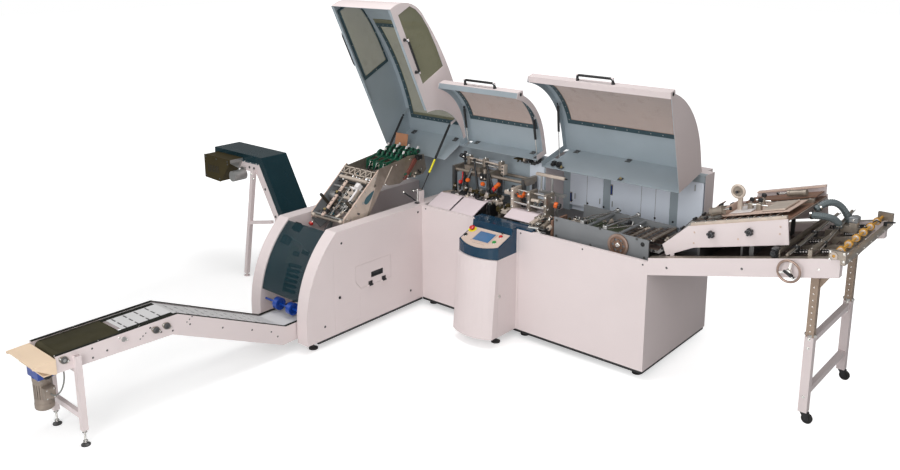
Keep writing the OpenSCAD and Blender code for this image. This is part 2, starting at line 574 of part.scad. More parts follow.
module conveyor_frame() color("whitesmoke") datum() {
    for (x = [con_near - side_t, con_far]) difference() {
        xprism(x, x + side_t) polygon(concat(run, under));
        for (y = [drive_y, idler_y]) rod([x - 1, y, roller_z], [x + side_t + 1, y, roller_z], 8 + fit);
    }
    // folded top flanges that carry the edge strips
    for (x = [con_near - side_t - 14, con_far + side_t])
        xprism(x, x + 14) polygon(concat(along(run, 0), turned(along(run, -2))));
    // slotted white bed: first part of the table, the incline and the throat
    difference() {
        bed = [[idler_y + 40, table_z - 8], run[1] - [0, 8], run[2] - [0, 8], run[3] - [0, 8]];
        xprism(con_far + side_t, con_near - side_t) polygon(concat(bed, turned(along(bed, -3))));
        for (x = [con_far + 70, con_far + 150, con_far + 230]) {
            for (i = [0:3]) block([x, idler_y + 70 + i * 85, table_z - 20],
                [x + 60, idler_y + 84 + i * 85, table_z]);
            translate([x, crest_y, table_z]) rotate([-incline_a, 0, 0])
                for (i = [0:9]) block([0, 60 + i * 92, -20], [60, 76 + i * 92, 2]);
        }
    }
    // ties between the side plates
    for (p = [[end_y + 12, table_z - 105], [crest_y - 60, table_z - 125], [foot_y - 60, throat_z - 100]])
        block([con_far + side_t, p[0], p[1]], [con_near - side_t, p[0] + 30, p[1] + 6]);
    // flange bearings
    for (y = [drive_y, idler_y]) for (s = [0, 1]) translate([s == 0 ? con_far - 10 : con_near, y, roller_z])
        rotate([0, 90, 0]) difference() {
            union() {
                cylinder(r = 20, h = 10);
                for (k = [-1, 1]) translate([k * 14, k * 24, 0]) cylinder(r = 10, h = 6);
                rotate(59.7) translate([-26, -11, 0]) cube([52, 22, 6]);
            }
            translate([0, 0, -1]) cylinder(r = 8 + fit, h = 12);
        }
    // cream end tray that slopes outwards, with its cheeks
    xprism(con_far - 6, con_near + 6) polygon([[end_y, table_z - 16], [end_y - tray_l, table_z - 20],
        [end_y - tray_l, table_z - 23], [end_y, table_z - 19]]);
    for (x = [con_far - 6, con_near + 3]) xprism(x, x + 3) polygon([[end_y, table_z - 19], [end_y, table_z - 115],
        [end_y - 20, table_z - 115], [end_y - tray_l, table_z - 36], [end_y - tray_l, table_z - 23]]);
    // leg frame with its braces and threaded feet
    leg_y = end_y + 130;
    for (x = [con_far - 40, con_near]) {
        square_tube([x, leg_y - 20, 110], [x + 40, leg_y + 20, table_z - 30], 2, 3);
        translate([x + 20, leg_y, 0]) {
            cylinder(r = 30, h = 8);
            translate([0, 0, 8]) cylinder(r1 = 30, r2 = 12, h = 10, $fn = 32);
            cylinder(r = 6, h = 110);
        }
        block([x + 3, leg_y - 17, 110], [x + 37, leg_y + 17, 114]);
    }
    square_tube([con_far, leg_y - 15, 190], [con_near, leg_y + 15, 230], 0, 3);
    square_tube([con_far, leg_y - 15, 520], [con_near, leg_y + 15, 550], 0, 3);
    // spacers that bolt the conveyor between the folding unit's walls
    for (y = [-1280, inner_y - 40]) {
        rod([con_near - 1, y, throat_z - 70], [wall_in, y, throat_z - 70], 14, 32);
        rod([far_in, y, throat_z - 70], [con_far + 1, y, throat_z - 70], 14, 32);
    }
    // plate that hangs the geared motor
    block([con_far + side_t, motor_y - 62, gear_top], [con_near - side_t, motor_y + 100, gear_top + 7]);
}

belt_w = conveyor_w - 2 * side_t - 36;
mid_con = (con_near + con_far) / 2;
module conveyor_belt() color("darkolivegreen") datum() {
    r = roller_r + play;
    xprism(mid_con - belt_w / 2, mid_con + belt_w / 2) difference() {
        union() {
            for (y = [drive_y, idler_y]) translate([y, roller_z]) circle(r = r + belt_t);
            translate([drive_y, roller_z - r - belt_t]) square([idler_y - drive_y, 2 * (r + belt_t)]);
        }
        for (y = [drive_y, idler_y]) translate([y, roller_z]) circle(r = r);
        translate([drive_y, roller_z - r]) square([idler_y - drive_y, 2 * r]);
    }
    // skid plate under the running side
    block([mid_con - belt_w / 2, drive_y + roller_r + 4, roller_z + r - 3],
          [mid_con + belt_w / 2, idler_y - roller_r - 4, roller_z + r]);
}
module belt_roller(y) color("silver") datum() {
    rod([con_far - 12, y, roller_z], [con_near + 14, y, roller_z], 8);
    rod([mid_con - belt_w / 2, y, roller_z], [mid_con + belt_w / 2, y, roller_z], roller_r);
}
module drive_roller() belt_roller(drive_y);
module idler_roller() belt_roller(idler_y);

// Worm gearbox with a finned motor hanging from it
motor_y = end_y - 20;
motor_r = 52;
gear_top = table_z - 112;
module gearmotor() color("steelblue") datum() {
    x = mid_con;
    block([x - 75, motor_y - 58, gear_top - 62], [x + 75, motor_y + 58, gear_top]);
    rod([x - 85, motor_y, gear_top - 34], [x + 85, motor_y, gear_top - 34], 32);
    translate([x, motor_y, gear_top - 92]) cylinder(r = 62, h = 30);
    translate([x, motor_y, gear_top - 250]) difference() {
        cylinder(r = motor_r + 8, h = 158);
        for (k = [0:23]) rotate(15 * k) translate([motor_r, -2.4, 40]) cube([12, 4.8, 100]);
    }
    translate([x, motor_y, gear_top - 282]) cylinder(r = motor_r + 10, h = 32);
    block([x + motor_r + 2, motor_y - 35, gear_top - 200], [x + motor_r + 50, motor_y + 35, gear_top - 120]);
}

// ---------------------------------------------------------- swept tubes
function unit(v) = v / norm(v);
function bezier(p, n) = [for (i = [0:n]) let (t = i / n, s = 1 - t)
    s * s * s * p[0] + 3 * s * s * t * p[1] + 3 * s * t * t * p[2] + t * t * t * p[3]];
function tangent(p, i) = unit(p[min(i + 1, len(p) - 1)] - p[max(i - 1, 0)]);
// One ring of k points of radius r round the path's point i
function ring(p, i, r, k, side) = let (t = tangent(p, i), u = unit(cross(t, side)), v = cross(t, u))
    [for (j = [0:k - 1]) p[i] + r * (cos(360 * j / k) * u + sin(360 * j / k) * v)];
function flat(v) = [for (a = v) for (b = a) b];
// Side faces between n + 1 rings of k points, first point at index o
function sides(n, k, o, flip) = [for (i = [0:n - 1]) for (j = [0:k - 1]) for (h = [0, 1])
    let (a = o + i * k + j, b = o + i * k + (j + 1) % k, c = a + k, d = b + k,
         f = h == 0 ? [a, b, c] : [b, d, c]) flip ? [f[2], f[1], f[0]] : f];
function fan(o, k, flip) = [for (j = [1:k - 2]) flip ? [o, o + j, o + j + 1] : [o, o + j + 1, o + j]];
module solid_tube(p, r, k, side) {
    n = len(p) - 1;
    polyhedron(flat([for (i = [0:n]) ring(p, i, r, k, side)]),
        concat(sides(n, k, 0, true), fan(0, k, true), fan(n * k, k, false)));
}
// Ribbed hose with its bore: crests and roots alternate between straight ends
module ribbed_tube(p, r, rib, wall, k, side) {
    n = len(p) - 1;
    outer = flat([for (i = [0:n]) ring(p, i, i < 3 || i > n - 3 ? r - rib : (i % 2 == 0 ? r - rib : r), k, side)]);
    bore = flat([for (i = [0:4:n]) ring(p, i, r - rib - wall, k, side)]);
    q = floor(n / 4);
    o = (n + 1) * k;
    cap = [for (j = [0:k - 1]) for (h = [0, 1])
        let (a = j, b = (j + 1) % k) h == 0 ? [a, b, o + a] : [b, o + b, o + a]];
    e = [for (j = [0:k - 1]) for (h = [0, 1]) let (a = n * k + j, b = n * k + (j + 1) % k,
        c = o + q * k + j, d = o + q * k + (j + 1) % k) h == 0 ? [c, b, a] : [c, d, b]];
    polyhedron(concat(outer, bore), concat(sides(n, k, 0, true), sides(q, k, o, false), cap, e));
}

// Supply lead of the geared motor, held at the side plate and at the terminal box
lead = [[mid_con + motor_r + 50, motor_y, gear_top - 160], [mid_con + motor_r + 150, motor_y, gear_top - 175],
        [con_near - 30, motor_y + 90, gear_top - 130], [con_near - 30, motor_y + 76, gear_top]];
module motor_cable() color("gray") datum() solid_tube(bezier(lead, 22), 5, 8, [0.3, 1, 0.1]);

// --------------------------------------------------------- waste conveyor
waste_y = -600;
waste_back = waste_y + waste_w;
waste_x = fold_x - 836;                       // upper bend
waste_end = waste_x - 710;
waste_edge = waste_z - 70;             // side plates' top edge on the level stretch
waste_low = 130;
waste_bend = waste_x + (waste_edge - waste_low) / tan(waste_slope);
plate_h = 90;
shift = plate_h * tan(waste_slope / 2);
waste_top = [[waste_end, waste_edge], [waste_x, waste_edge], [waste_bend, waste_low], [fold_x, waste_low]];
waste_under = [[fold_x, waste_low - 60], [waste_bend - 34, waste_low - 60],
               [waste_x - shift, waste_edge - plate_h], [waste_end, waste_edge - plate_h]];
drum_x = waste_end + 55;
drum_z = waste_edge - 45;
module waste_conveyor() color("whitesmoke") datum() {
    for (y = [waste_y, waste_back - 4]) difference() {
        yprism(y, y + 4) polygon(concat(waste_top, waste_under));
        rod([drum_x, y - 1, drum_z], [drum_x, y + 5, drum_z], 8 + fit);
    }
    // belt support between the plates, with cleats
    yprism(waste_y + 4, waste_back - 4) polygon(concat([for (p = waste_top) p - [0, 14]],
        turned([for (p = waste_top) p - [0, 18]])));
    // legs with feet and a brace
    for (y = [waste_y - 40, waste_back]) {
        yprism(y, y + 40) polygon([[waste_x - 275, 30], [waste_x - 235, 30], [waste_x - 40, waste_edge - 60],
            [waste_x - 85, waste_edge - 60]]);
        translate([waste_x - 255, y + 20, 0]) {
            cylinder(r = 30, h = 8);
            cylinder(r = 12, h = 31);
        }
        yprism(y, y + 30) polygon([[waste_x - 160, 560], [waste_x + 200, 640], [waste_x + 200, 670],
            [waste_x - 160, 590]]);
    }
    // drive housing and its motor on the operator's side
    yprism(waste_y - 155, waste_y) polygon([[waste_end + 50, waste_z - 40], [waste_end + 50, waste_z - 265],
        [waste_end + 300, waste_z - 275], [waste_end + 460, waste_z - 70], [waste_end + 460, waste_z - 40]]);
    rod([waste_end + 470, waste_y - 140, waste_edge - 130], [waste_end + 470, waste_y, waste_edge - 130], 52);
    block([waste_end + 440, waste_y - 20, waste_edge - 130], [waste_end + 500, waste_y, waste_edge - 60]);
}

// Outline of the tinted cover set in by s
function hood(s) = let (g = (70 - s) / sin(waste_slope), low = 330 + s,
    foot_x = waste_x + (waste_edge - low) / tan(waste_slope))
    [[waste_end + s, waste_edge], [waste_end + s, waste_z - s],
     [waste_x + (70 - s) * tan(waste_slope / 2), waste_z - s],
     [foot_x + g, low], [foot_x, low], [waste_x, waste_edge]];
module waste_cover() color("midnightblue") datum() difference() {
    yprism(waste_y, waste_back) polygon(hood(0));
    yprism(waste_y + 4, waste_back - 4) polygon([for (p = hood(4)) p[1] < waste_edge + 1 ? p - [0, 5] : p]);
}

module waste_drum() color("gray") datum() {
    rod([drum_x, waste_y + play, drum_z], [drum_x, waste_back + 12, drum_z], 8);
    rod([drum_x, waste_y + 6, drum_z], [drum_x, waste_back - 6, drum_z], 24);
}

// ------------------------------------------------------------ sheet feeder
beam_y = [0, unit_d - 61];              // front faces of the two beams
beam_w = 60;
function beam_z(x) = panel_top + 31 + x * tan(beam_slope);
leg_x = 1130;
leg_ys = [197, 1018];
castor_top = 2 * castor_r + 10;
module feeder_frame() color("whitesmoke") datum() {
    for (y = beam_y) difference() {
        yprism(y, y + beam_w) polygon([[0, beam_z(0) - beam_h], [0, beam_z(0)], [beam_l, beam_z(beam_l)],
            [beam_l, beam_z(beam_l) - beam_h]]);
        yprism(y + sheet, y + beam_w - sheet) polygon([[-1, beam_z(0) - beam_h - 2], [-1, beam_z(0) - sheet],
            [beam_l - sheet, beam_z(beam_l - sheet) - sheet],
                [beam_l - sheet, beam_z(beam_l - sheet) - beam_h - 2]]);
        if (y == 0) rod([wheel_x, -1, handwheel_z], [wheel_x, beam_w + 1, handwheel_z], 10 + fit);
    }
    // cross members, the last one on the legs
    for (x = [120, 700]) block([x, beam_w, beam_z(x) - 110], [x + 40, beam_y[1], beam_z(x) - 70]);
    block([leg_x - 30, beam_w, beam_z(leg_x) - beam_h], [leg_x + 30, beam_y[1], beam_z(leg_x) - beam_h + 40]);
    h = leg_half;
    for (y = leg_ys) {
        // outer tube, and the perforated inner post that it clamps
        square_tube([leg_x - h, y - h, castor_top], [leg_x + h, y + h, 640], 2, 4);
        block([leg_x - h, y - h, castor_top], [leg_x + h, y + h, castor_top + 5]);
        difference() {
            square_tube([leg_x - h + 4, y - h + 4, 300], [leg_x + h - 4, y + h - 4, beam_z(leg_x) - beam_h], 2, 3);
            for (i = [0:8]) rod([leg_x - h, y, 670 + 48 * i], [leg_x + h, y, 670 + 48 * i], 7, 24);
        }
    }
    for (z = [205, 585]) square_tube([leg_x - 20, leg_ys[0] + h, z], [leg_x + 20, leg_ys[1] - h, z + 40], 1, 3);
    for (y = leg_ys) yprism(y - 3, y + 3) polygon([[leg_x + h - 4, beam_z(leg_x) - beam_h],
        [leg_x + 130, beam_z(leg_x + 130) - beam_h], [leg_x + h - 4, beam_z(leg_x) - beam_h - 130]]);
}

// Upper housing: side plates, deck and the inclined feed belt bed
box_a = 15.8;
box_y = [100, 890];
function box_top(x) = 1255 + (x - 250) * tan(box_a);
module feeder_box() color("whitesmoke") datum() {
    for (y = box_y) difference() {
        yprism(y, y + 10) polygon([[58, 1075], [250, box_top(250)], [944, box_top(944)], [965, 1276],
            [299, 1104], [91, 996]]);
        if (y == box_y[0]) for (x = knob_x) rod([x, y - 1, box_top(x) - 70], [x, y + 11, box_top(x) - 70], 8 + fit);
    }
    yprism(box_y[0] + 10, box_y[1]) polygon([[250, box_top(250) - 16], [944, box_top(944) - 16],
        [944, box_top(944) - 20], [250, box_top(250) - 20]]);
    yprism(box_y[1], box_y[1] + 8) polygon([[420, box_top(420) - 20], [440, box_top(440) + 75],
        [935, box_top(935) + 75], [935, box_top(935) - 20]]);
    for (x = [330, 640]) block([x, box_y[0] + 10, beam_z(x) - 70], [x + 14, box_y[1], box_top(x) - 20]);
    // feet that stand on the beams' cross members
    for (x = [124, 704]) for (y = box_y) block([x, y, beam_z(x) - 70], [x + 30, y + 10, box_top(x) - 90]);
}

// Feed deck between the beams, guides, cross bars, posts and the end bar with its housing
knob_x = [430, 700];
wheel_x = 1025;
handwheel_z = beam_z(wheel_x) - 77;
shaft_x = beam_l - 40;
shaft_z = beam_z(beam_l) + 12;
module feeder_deck() color("gray") datum() {
    yprism(beam_w, beam_y[1]) polygon([[0, beam_z(0) - 66], [1260, beam_z(1260) - 66], [1260, beam_z(1260) - 70],
        [0, beam_z(0) - 70]]);
    // bars along and across the deck
    for (y = [330, 560, 790]) yprism(y, y + 24) polygon([[980, beam_z(980) - 66], [980, beam_z(980)],
        [1255, beam_z(1255)], [1255, beam_z(1255) - 66]]);
    for (x = [905, 1110]) {
        block([x, beam_w - 20, beam_z(x) + 24], [x + 26, beam_y[1] + 20, beam_z(x) + 48]);
        for (y = [beam_w - 20, beam_y[1]]) block([x, y, beam_z(x) - 20], [x + 26, y + 20, beam_z(x) + 24]);
    }
    // end bar and the bearing housings that carry the wheel shaft
    block([beam_l, -10, beam_z(beam_l) - 40], [beam_l + 30, unit_d + 10, beam_z(beam_l) - 10]);
    for (y = [-10, unit_d - 20]) difference() {
        block([shaft_x - 32, y, beam_z(beam_l) - 9], [beam_l + 30, y + 30, shaft_z + 34]);
        rod([shaft_x, y - 1, shaft_z], [shaft_x, y + 31, shaft_z], 9 + fit);
    }
    // inclined rails of the infeed towards the main unit
    for (y = [150, 300, 450, 600]) yprism(y, y + 18) polygon([[-250, 976], [-250, 996], [0, 996], [90, 1090],
        [250, box_top(250) + 24], [400, box_top(400) + 24], [400, box_top(400) - 16],
            [250, box_top(250) - 16], [110, 1072], [10, 976]]);
    // sensor block on its slide bar
    block([1180, 640, beam_z(1180) + 49], [1230, 700, beam_z(1180) + 120]);
    block([1136, 655, beam_z(1110) + 24], [1230, 685, beam_z(1180) + 49]);
}

module orange_wheels() color("orange") datum() {
    rod([shaft_x, -14, shaft_z], [shaft_x, unit_d + 14, shaft_z], 9);
    for (i = [0:5]) rod([shaft_x, 120 + 160 * i, shaft_z], [shaft_x, 146 + 160 * i, shaft_z], 26);
}

hose_a = [[955, 500, 1385], [1060, 500, 1400], [1120, 560, 1395], [1120, 640, beam_z(1110) + 60]];
hose_b = [[955, 620, 1400], [1010, 700, 1470], [1100, 800, 1490], [1160, 830, beam_z(1160) - 62]];
module feeder_hoses() color("slategray") datum() {
    ribbed_tube(bezier(hose_a, 40), 26, 3, 4, 8, [0.1, 0.2, 1]);
    ribbed_tube(bezier(hose_b, 48), 26, 3, 4, 8, [1, -0.6, 0.2]);
}

module handwheel() color("silver") datum() {
    y = -40;
    rod([wheel_x, y - 8, handwheel_z], [wheel_x, beam_w - 1, handwheel_z], 10);
    translate([wheel_x, y, handwheel_z]) rotate([90, 0, 0]) {
        rotate_extrude() translate([handwheel_r, 0]) circle(r = 8, $fn = 24);
        translate([0, 0, -12]) cylinder(r = 20, h = 22);
        for (k = [0:2]) rotate(120 * k + atan2(-30, 34)) translate([10, -7, -5]) cube([handwheel_r - 14, 14, 8]);
    }
    // pin of the folding handle with its shoulder and head
    for (d = [[-10.6, 0, 7], [-30, 0, 5], [-33, -29.8, 8]])
        rod([wheel_x + 34, y + d[0], handwheel_z - 30], [wheel_x + 34, y + d[1], handwheel_z - 30], d[2], 32);
}

// Folding handle of the handwheel, turned in against the rim
module crank_handle() color("black") datum() {
    y = -60;
    pivot = [wheel_x + 34, y, handwheel_z - 30];
    difference() {
        union() {
            rod(pivot - [0, 9.4, 0], pivot + [0, 7.7, 0], 10, 32);
            rod(pivot, [wheel_x - 28, y, handwheel_z + 6], 9, 32);
        }
        rod(pivot - [0, 12, 0], pivot + [0, 12, 0], 5 + fit, 32);
    }
}

module star_knob(x) color("black") datum() {
    z = box_top(x) - 70;
    rod([x, box_y[0] - 14, z], [x, box_y[0] + 20, z], 8);
    difference() {
        rod([x, box_y[0] - 34, z], [x, box_y[0] - 8, z], 27);
        for (k = [0:4]) rod([x + 32 * cos(72 * k), box_y[0] - 35, z + 32 * sin(72 * k)],
            [x + 32 * cos(72 * k), box_y[0] - 7, z + 32 * sin(72 * k)], 12, 32);
    }
}
module left_star_knob() star_knob(knob_x[0]);
module right_star_knob() star_knob(knob_x[1]);

clamp_at = [beam_l + 15, 930, beam_z(beam_l) - 10];
module clamp_lever() color("black") datum() translate(clamp_at + [0, 0, play]) {
    cylinder(r = 12, h = 26);
    translate([0, 0, 22]) rotate([0, 90, 40]) cylinder(r1 = 8, r2 = 6, h = 70, $fn = 32);
}

// Infeed disc wheel on the low side plate of the main unit
disc_r = 88;
disc_at = [-312, 113, bed_z + disc_r + 3];
module disc_wheel() color("rosybrown") datum() translate(disc_at) rotate([90, 0, 0]) {
    translate([0, 0, -26]) cylinder(r = 10, h = 30);
    difference() {
        cylinder(r = disc_r, h = 12);
        translate([0, 0, 8]) cylinder(r = disc_r - 18, h = 5);
        for (k = [0:5]) rotate(60 * k) translate([46, 0, -1]) cylinder(r = 12, h = 14);
    }
    cylinder(r = 24, h = 15);
}

// Swivelling castors under the feeder's legs
trail = 28;
module castor_fork(y) color("dimgray") datum() translate([leg_x, y, 0]) {
    translate([0, 0, castor_top - 4 - play]) cylinder(r = 26, h = 4);
    difference() {
        union() {
            for (s = [-18, 14]) translate([0, s, 0]) rotate([90, 0, 0]) translate([0, 0, -4]) linear_extrude(4)
                polygon([[trail - 14, castor_r - 12], [trail + 14, castor_r - 12], [trail + 8, castor_top - 8],
                    [-18, castor_top - 8]]);
            translate([-18, -18, castor_top - 9]) cube([trail + 26, 36, 5]);
        }
        for (s = [-19, 13]) translate([trail, s, castor_r]) rotate([-90, 0, 0]) cylinder(r = 6 + fit, h = 6);
    }
}
module castor_wheel(y) color("black") datum() translate([leg_x + trail, y, castor_r]) rotate([90, 0, 0]) {
    rotate_extrude() polygon([[0, -12], [castor_r - 4, -12], [castor_r, -8], [castor_r, 8],
        [castor_r - 4, 12], [0, 12]]);
    translate([0, 0, -19]) cylinder(r = 6, h = 38);
}
module front_castor_fork() castor_fork(leg_ys[0]);
module front_castor_wheel() castor_wheel(leg_ys[0]);
module rear_castor_fork() castor_fork(leg_ys[1]);
module rear_castor_wheel() castor_wheel(leg_ys[1]);

// ------------------------------------------------------------------ covers
// Each cover is drawn closed about its hinge line, then swung open to its rest pose.
gap_h = 12;                          // distance of the back skin from the hinge line
pin_r = 5;
rim = 50;                            // width of the flange round an open end
top_flat = 200;
right_x = [step_x + 25, -30];
middle_x = [x_left + 53, step_x + 5];
left_x = [fold_x, x_left];
right_back = 395;
middle_back = 146;
right_a = 156;                       // where the curved fronts end
middle_a = 150.5;
// Skin line set in by s: back edge, corner, flat top and curved front
function skin_line(s, r, back, a_end) = concat([[-gap_h - s, -back], [-gap_h - s, -s]],
    arc(-top_flat, -r, r - s, 90, a_end, 22));
module opened(hinge, angle) datum() translate([0, hinge[0], hinge[1]]) rotate([-angle, 0, 0]) children();
right_hinge = [rear_y, hinge_z];
left_hinge = [rear_left_y, hinge_z];

// Knuckle on the cover; the pin and its lugs stay on the rear wall
module knuckle(x) difference() {
    union() {
        rod([x - 25, 0, 0], [x + 25, 0, 0], 9);
        block([x - 25, -gap_h - 1, -9], [x + 25, 0, 0]);
    }
    rod([x - 26, 0, 0], [x + 26, 0, 0], pin_r + fit);
}
module hinge_lugs(x, hinge) translate([x, hinge[0], hinge[1]]) {
    rod([-40, 0, 0], [40, 0, 0], pin_r);
    for (s = [-40, 25 + play]) {
        rod([s, 0, 0], [s + 15 - play, 0, 0], 9);
        block([s, 0, -21], [s + 15 - play, 14, 0]);
    }
}
// Bow handle standing off a face at (y, z), bar along X
module bow_handle(x, y, z, w) {
    for (s = [-w / 2, w / 2]) rod([x + s, y, z], [x + s, y - 45, z], handle_r, 32);
    rod([x - w / 2 - handle_r, y - 45, z], [x + w / 2 + handle_r, y - 45, z], handle_r, 32);
}
// Curved strip of the skin between two indices of its line
module curved_cover(x, r, back, a_end, from, to, plate, notches) {
    line = skin_line(0, r, back, a_end);
    tip = line[len(line) - 1];
    difference() {
        xprism(x[0], x[1]) polygon(concat(line, turned(skin_line(sheet, r, back, a_end))));
        xprism(x[0] + rim + border, x[1] - rim - border) polygon(window(r, a_end, from, to, 1, -sheet - 1));
        // slots that let the gas struts pass through the back skin
        for (n = notches) block([n[0], -gap_h - sheet - 1, -min(back - 20, 215)], [n[1], -gap_h + 1, -20]);
    }
    xprism(x[0], x[0] + sheet) polygon(concat(line, turned(skin_line(rim, r, back, a_end))));
    if (plate) xprism(x[1] - sheet, x[1]) polygon(line);
    else xprism(x[1] - sheet, x[1]) polygon(concat(line, turned(skin_line(rim, r, back, a_end))));
    // box flange along the lower front edge
    difference() {
        block([x[0], tip[0], tip[1] - sheet], [x[1], tip[0] + 50, tip[1] + 70]);
        block([x[0] + 5, tip[0] + sheet, tip[1]], [x[1] - 5, tip[0] + 50 - sheet, tip[1] + 70 - sheet]);
    }
}
// Sector of the skin between two angles, from g above it to g1 above it
function window(r, a_end, from, to, g, g1) = let (st = (a_end - 90) / 22)
    concat([for (k = [from:to]) let (a = 90 + k * st) [-top_flat + (r + g) * cos(a), -r + (r + g) * sin(a)]],
           [for (k = [to:-1:from]) let (a = 90 + k * st) [-top_flat + (r + g1) * cos(a), -r + (r + g1) * sin(a)]]);
// Height of the middle of a cover's skin above its hinge line
function skin_z(y, r) = -r + sqrt(pow(r - sheet / 2, 2) - pow(y + top_flat, 2));
function roof_z(y) = roof_c[1] + sqrt(pow(roof_r - sheet / 2, 2) - pow(y - roof_c[0], 2));
module cover_bracket(x, c, s, r) {
    ends = [for (d = [12, -12]) [c[0] + d, r > 0 ? skin_z(c[0] + d, r) : roof_z(c[0] + d)]];
    xprism(x + s * 14 - 2, x + s * 14 + 2) polygon(concat([[c[0] - 12, c[1] - 12], [c[0] + 12, c[1] - 12]], ends));
    rod([x + s * 6.5, c[0], c[1]], [x + s * 14, c[0], c[1]], 5, 24);
}

right_knuckles = [step_x + 155, (right_x[0] + right_x[1]) / 2, -160];
middle_knuckles = [x_left + 163, step_x - 115];
left_knuckles = [fold_x + 94, x_left - 97];
right_c = [-480, -85];
middle_c = [-370, -55];
left_c = [-232, -63];
right_strut_x = right_x[0] + 25;
middle_strut_x = [middle_x[0] + 40, middle_x[1] - 50];
left_strut_x = [fold_x + 64, x_left - 57];
module right_cover() color("whitesmoke") opened(right_hinge, right_open) {
    curved_cover(right_x, right_r, right_back, right_a, 3, 18, true, [[right_strut_x - 17, right_strut_x + 23]]);
    for (x = right_knuckles) knuckle(x);
    bow_handle((right_x[0] + right_x[1]) / 2 - 20, -top_flat + right_r * cos(right_a) + 1,
        -right_r + right_r * sin(right_a) + 35, handle_w);
    cover_bracket(right_strut_x, right_c, 1, right_r);
}
module right_cover_pane() color("lightsteelblue") opened(right_hinge, right_open)
    xprism(right_x[0] + rim + 5, right_x[1] - rim - 5)
        polygon(window(right_r, right_a, 2, 19, -sheet, -sheet - pane));

module middle_cover() color("whitesmoke") opened(left_hinge, middle_open) {
    curved_cover(middle_x, middle_r, middle_back, middle_a, 3, 17, false,
        [[middle_strut_x[0] - 18, middle_strut_x[0] + 14], [middle_strut_x[1] - 14, middle_strut_x[1] + 18]]);
    for (x = middle_knuckles) knuckle(x);
    bow_handle((middle_x[0] + middle_x[1]) / 2 + 5, -top_flat + middle_r * cos(middle_a) + 1,
        -middle_r + middle_r * sin(middle_a) + 35, handle_w);
    cover_bracket(middle_strut_x[0], middle_c, -1, middle_r);
    cover_bracket(middle_strut_x[1], middle_c, 1, middle_r);
}
module middle_cover_pane() color("lightsteelblue") opened(left_hinge, middle_open)
    xprism(middle_x[0] + rim + 5, middle_x[1] - rim - 5)
        polygon(window(middle_r, middle_a, 2, 18, -sheet, -sheet - pane));

// Left cover: shallow arc on top, round front corner, windowed ends
roof_r = 2600;
roof_c = [-650, 88 - roof_r];
roof_a0 = asin(650 / roof_r);
roof_a1 = asin(662 / roof_r);
nose_c = [-1265, roof_c[1] + roof_r * cos(roof_a1) - left_r + 2.7];
left_back = 333;
function roof_line(s) = concat([[-gap_h - s, -left_back]],
    arc(roof_c[0], roof_c[1], roof_r - s, 90 - roof_a0 + 0.27, 90 + roof_a1, 20),
    arc(nose_c[0], nose_c[1] + 3, left_r - s, 100, 187, 10));
function side_window(s) = [[-800 + s, -270 - s], [-800 + s, 28 + s], [-1000, 25 + s], [-1200, 6 + s],
    [-1330, -22 + s],
    [-1420, -62 + s], [-1480 - s, -115], [-1480 - s, -270 - s]];
module left_cover() color("whitesmoke") opened(left_hinge, left_open) {
    difference() {
        xprism(left_x[0], left_x[1]) polygon(concat(roof_line(0), turned(roof_line(sheet))));
        xprism(left_x[0] + 95, left_x[1] - 95) polygon(roof_window(3, 18, 1, -sheet - 1));
    }
    difference() {
        for (x = [left_x[0], left_x[1] - sheet]) xprism(x, x + sheet) polygon(roof_line(1));
        xprism(left_x[0] - 1, left_x[1] + 1) polygon(side_window(0));
        rod([left_x[1] - 10, -128, -440], [left_x[1] + 1, -128, -440], 425);
    }
    // folded edge round the lower rim
    for (x = [left_x[0], left_x[1] - 30]) block([x, -1560, -left_back], [x + 30, -560, -left_back + sheet]);
    for (x = left_knuckles) knuckle(x);
    for (s = [0, 1]) translate([left_x[s], -1100, -300]) {
        out = s == 0 ? -45 : 45;
        for (d = [-handle_w / 2, handle_w / 2]) rod([0, d, 0], [out, d, 0], handle_r, 32);
        rod([out, -handle_w / 2 - handle_r, 0], [out, handle_w / 2 + handle_r, 0], handle_r, 32);
    }
    for (i = [0, 1]) cover_bracket(left_strut_x[i], left_c, i == 0 ? -1 : 1, 0);
}
function roof_window(from, to, g, g1) = let (a0 = 90 - roof_a0 + 0.27, st = (roof_a1 + roof_a0 - 0.27) / 20)
    concat([for (k = [from:to]) let (a = a0 + k * st) [roof_c[0] + (roof_r + g) * cos(a),
        roof_c[1] + (roof_r + g) * sin(a)]],
           [for (k = [to:-1:from]) let (a = a0 + k * st) [roof_c[0] + (roof_r + g1) * cos(a),
               roof_c[1] + (roof_r + g1) * sin(a)]]);
module left_cover_panes() color("lightsteelblue") opened(left_hinge, left_open) {
    xprism(left_x[0] + 55, left_x[1] - 55) polygon(roof_window(2, 19, -sheet, -sheet - pane));
    for (x = [left_x[0] + sheet, left_x[1] - sheet - pane]) xprism(x, x + pane) polygon(side_window(15));
}

// ------------------------------------------------------------- gas struts
eye_r = 8;
stud_r = 4;
function swung(c, angle, hinge) = [hinge[0] + c[0] * cos(angle) + c[1] * sin(angle),
                                   hinge[1] - c[0] * sin(angle) + c[1] * cos(angle)];
right_p = [743, hinge_z - 40];
middle_p = [545, hinge_z - 35];
left_p = [50, panel_top + 100];
module along_strut(x, p, c) datum() translate([x, p[0], p[1]])
    rotate([atan2(c[1] - p[1], c[0] - p[0]), 0, 0]) children();
module strut_rod(x, p, c, l) along_strut(x, p, c) difference() {
    union() {
        rod([-6, 0, 0], [6, 0, 0], eye_r, 32);
        rod([0, 5, 0], [0, l, 0], 5, 32);
    }
    rod([-7, 0, 0], [7, 0, 0], stud_r + fit, 32);
}
module strut_tube(x, p, c, l) along_strut(x, p, c) {
    reach = norm(c - p);
    difference() {
        union() {
            rod([0, reach - l, 0], [0, reach - 20, 0], 11, 32);
            rod([-6, reach, 0], [6, reach, 0], eye_r, 32);
            rod([0, reach - 21, 0], [0, reach - 5, 0], 6, 32);
        }
        rod([0, reach - l - 1, 0], [0, reach - 30, 0], 5 + fit, 32);
    }
}
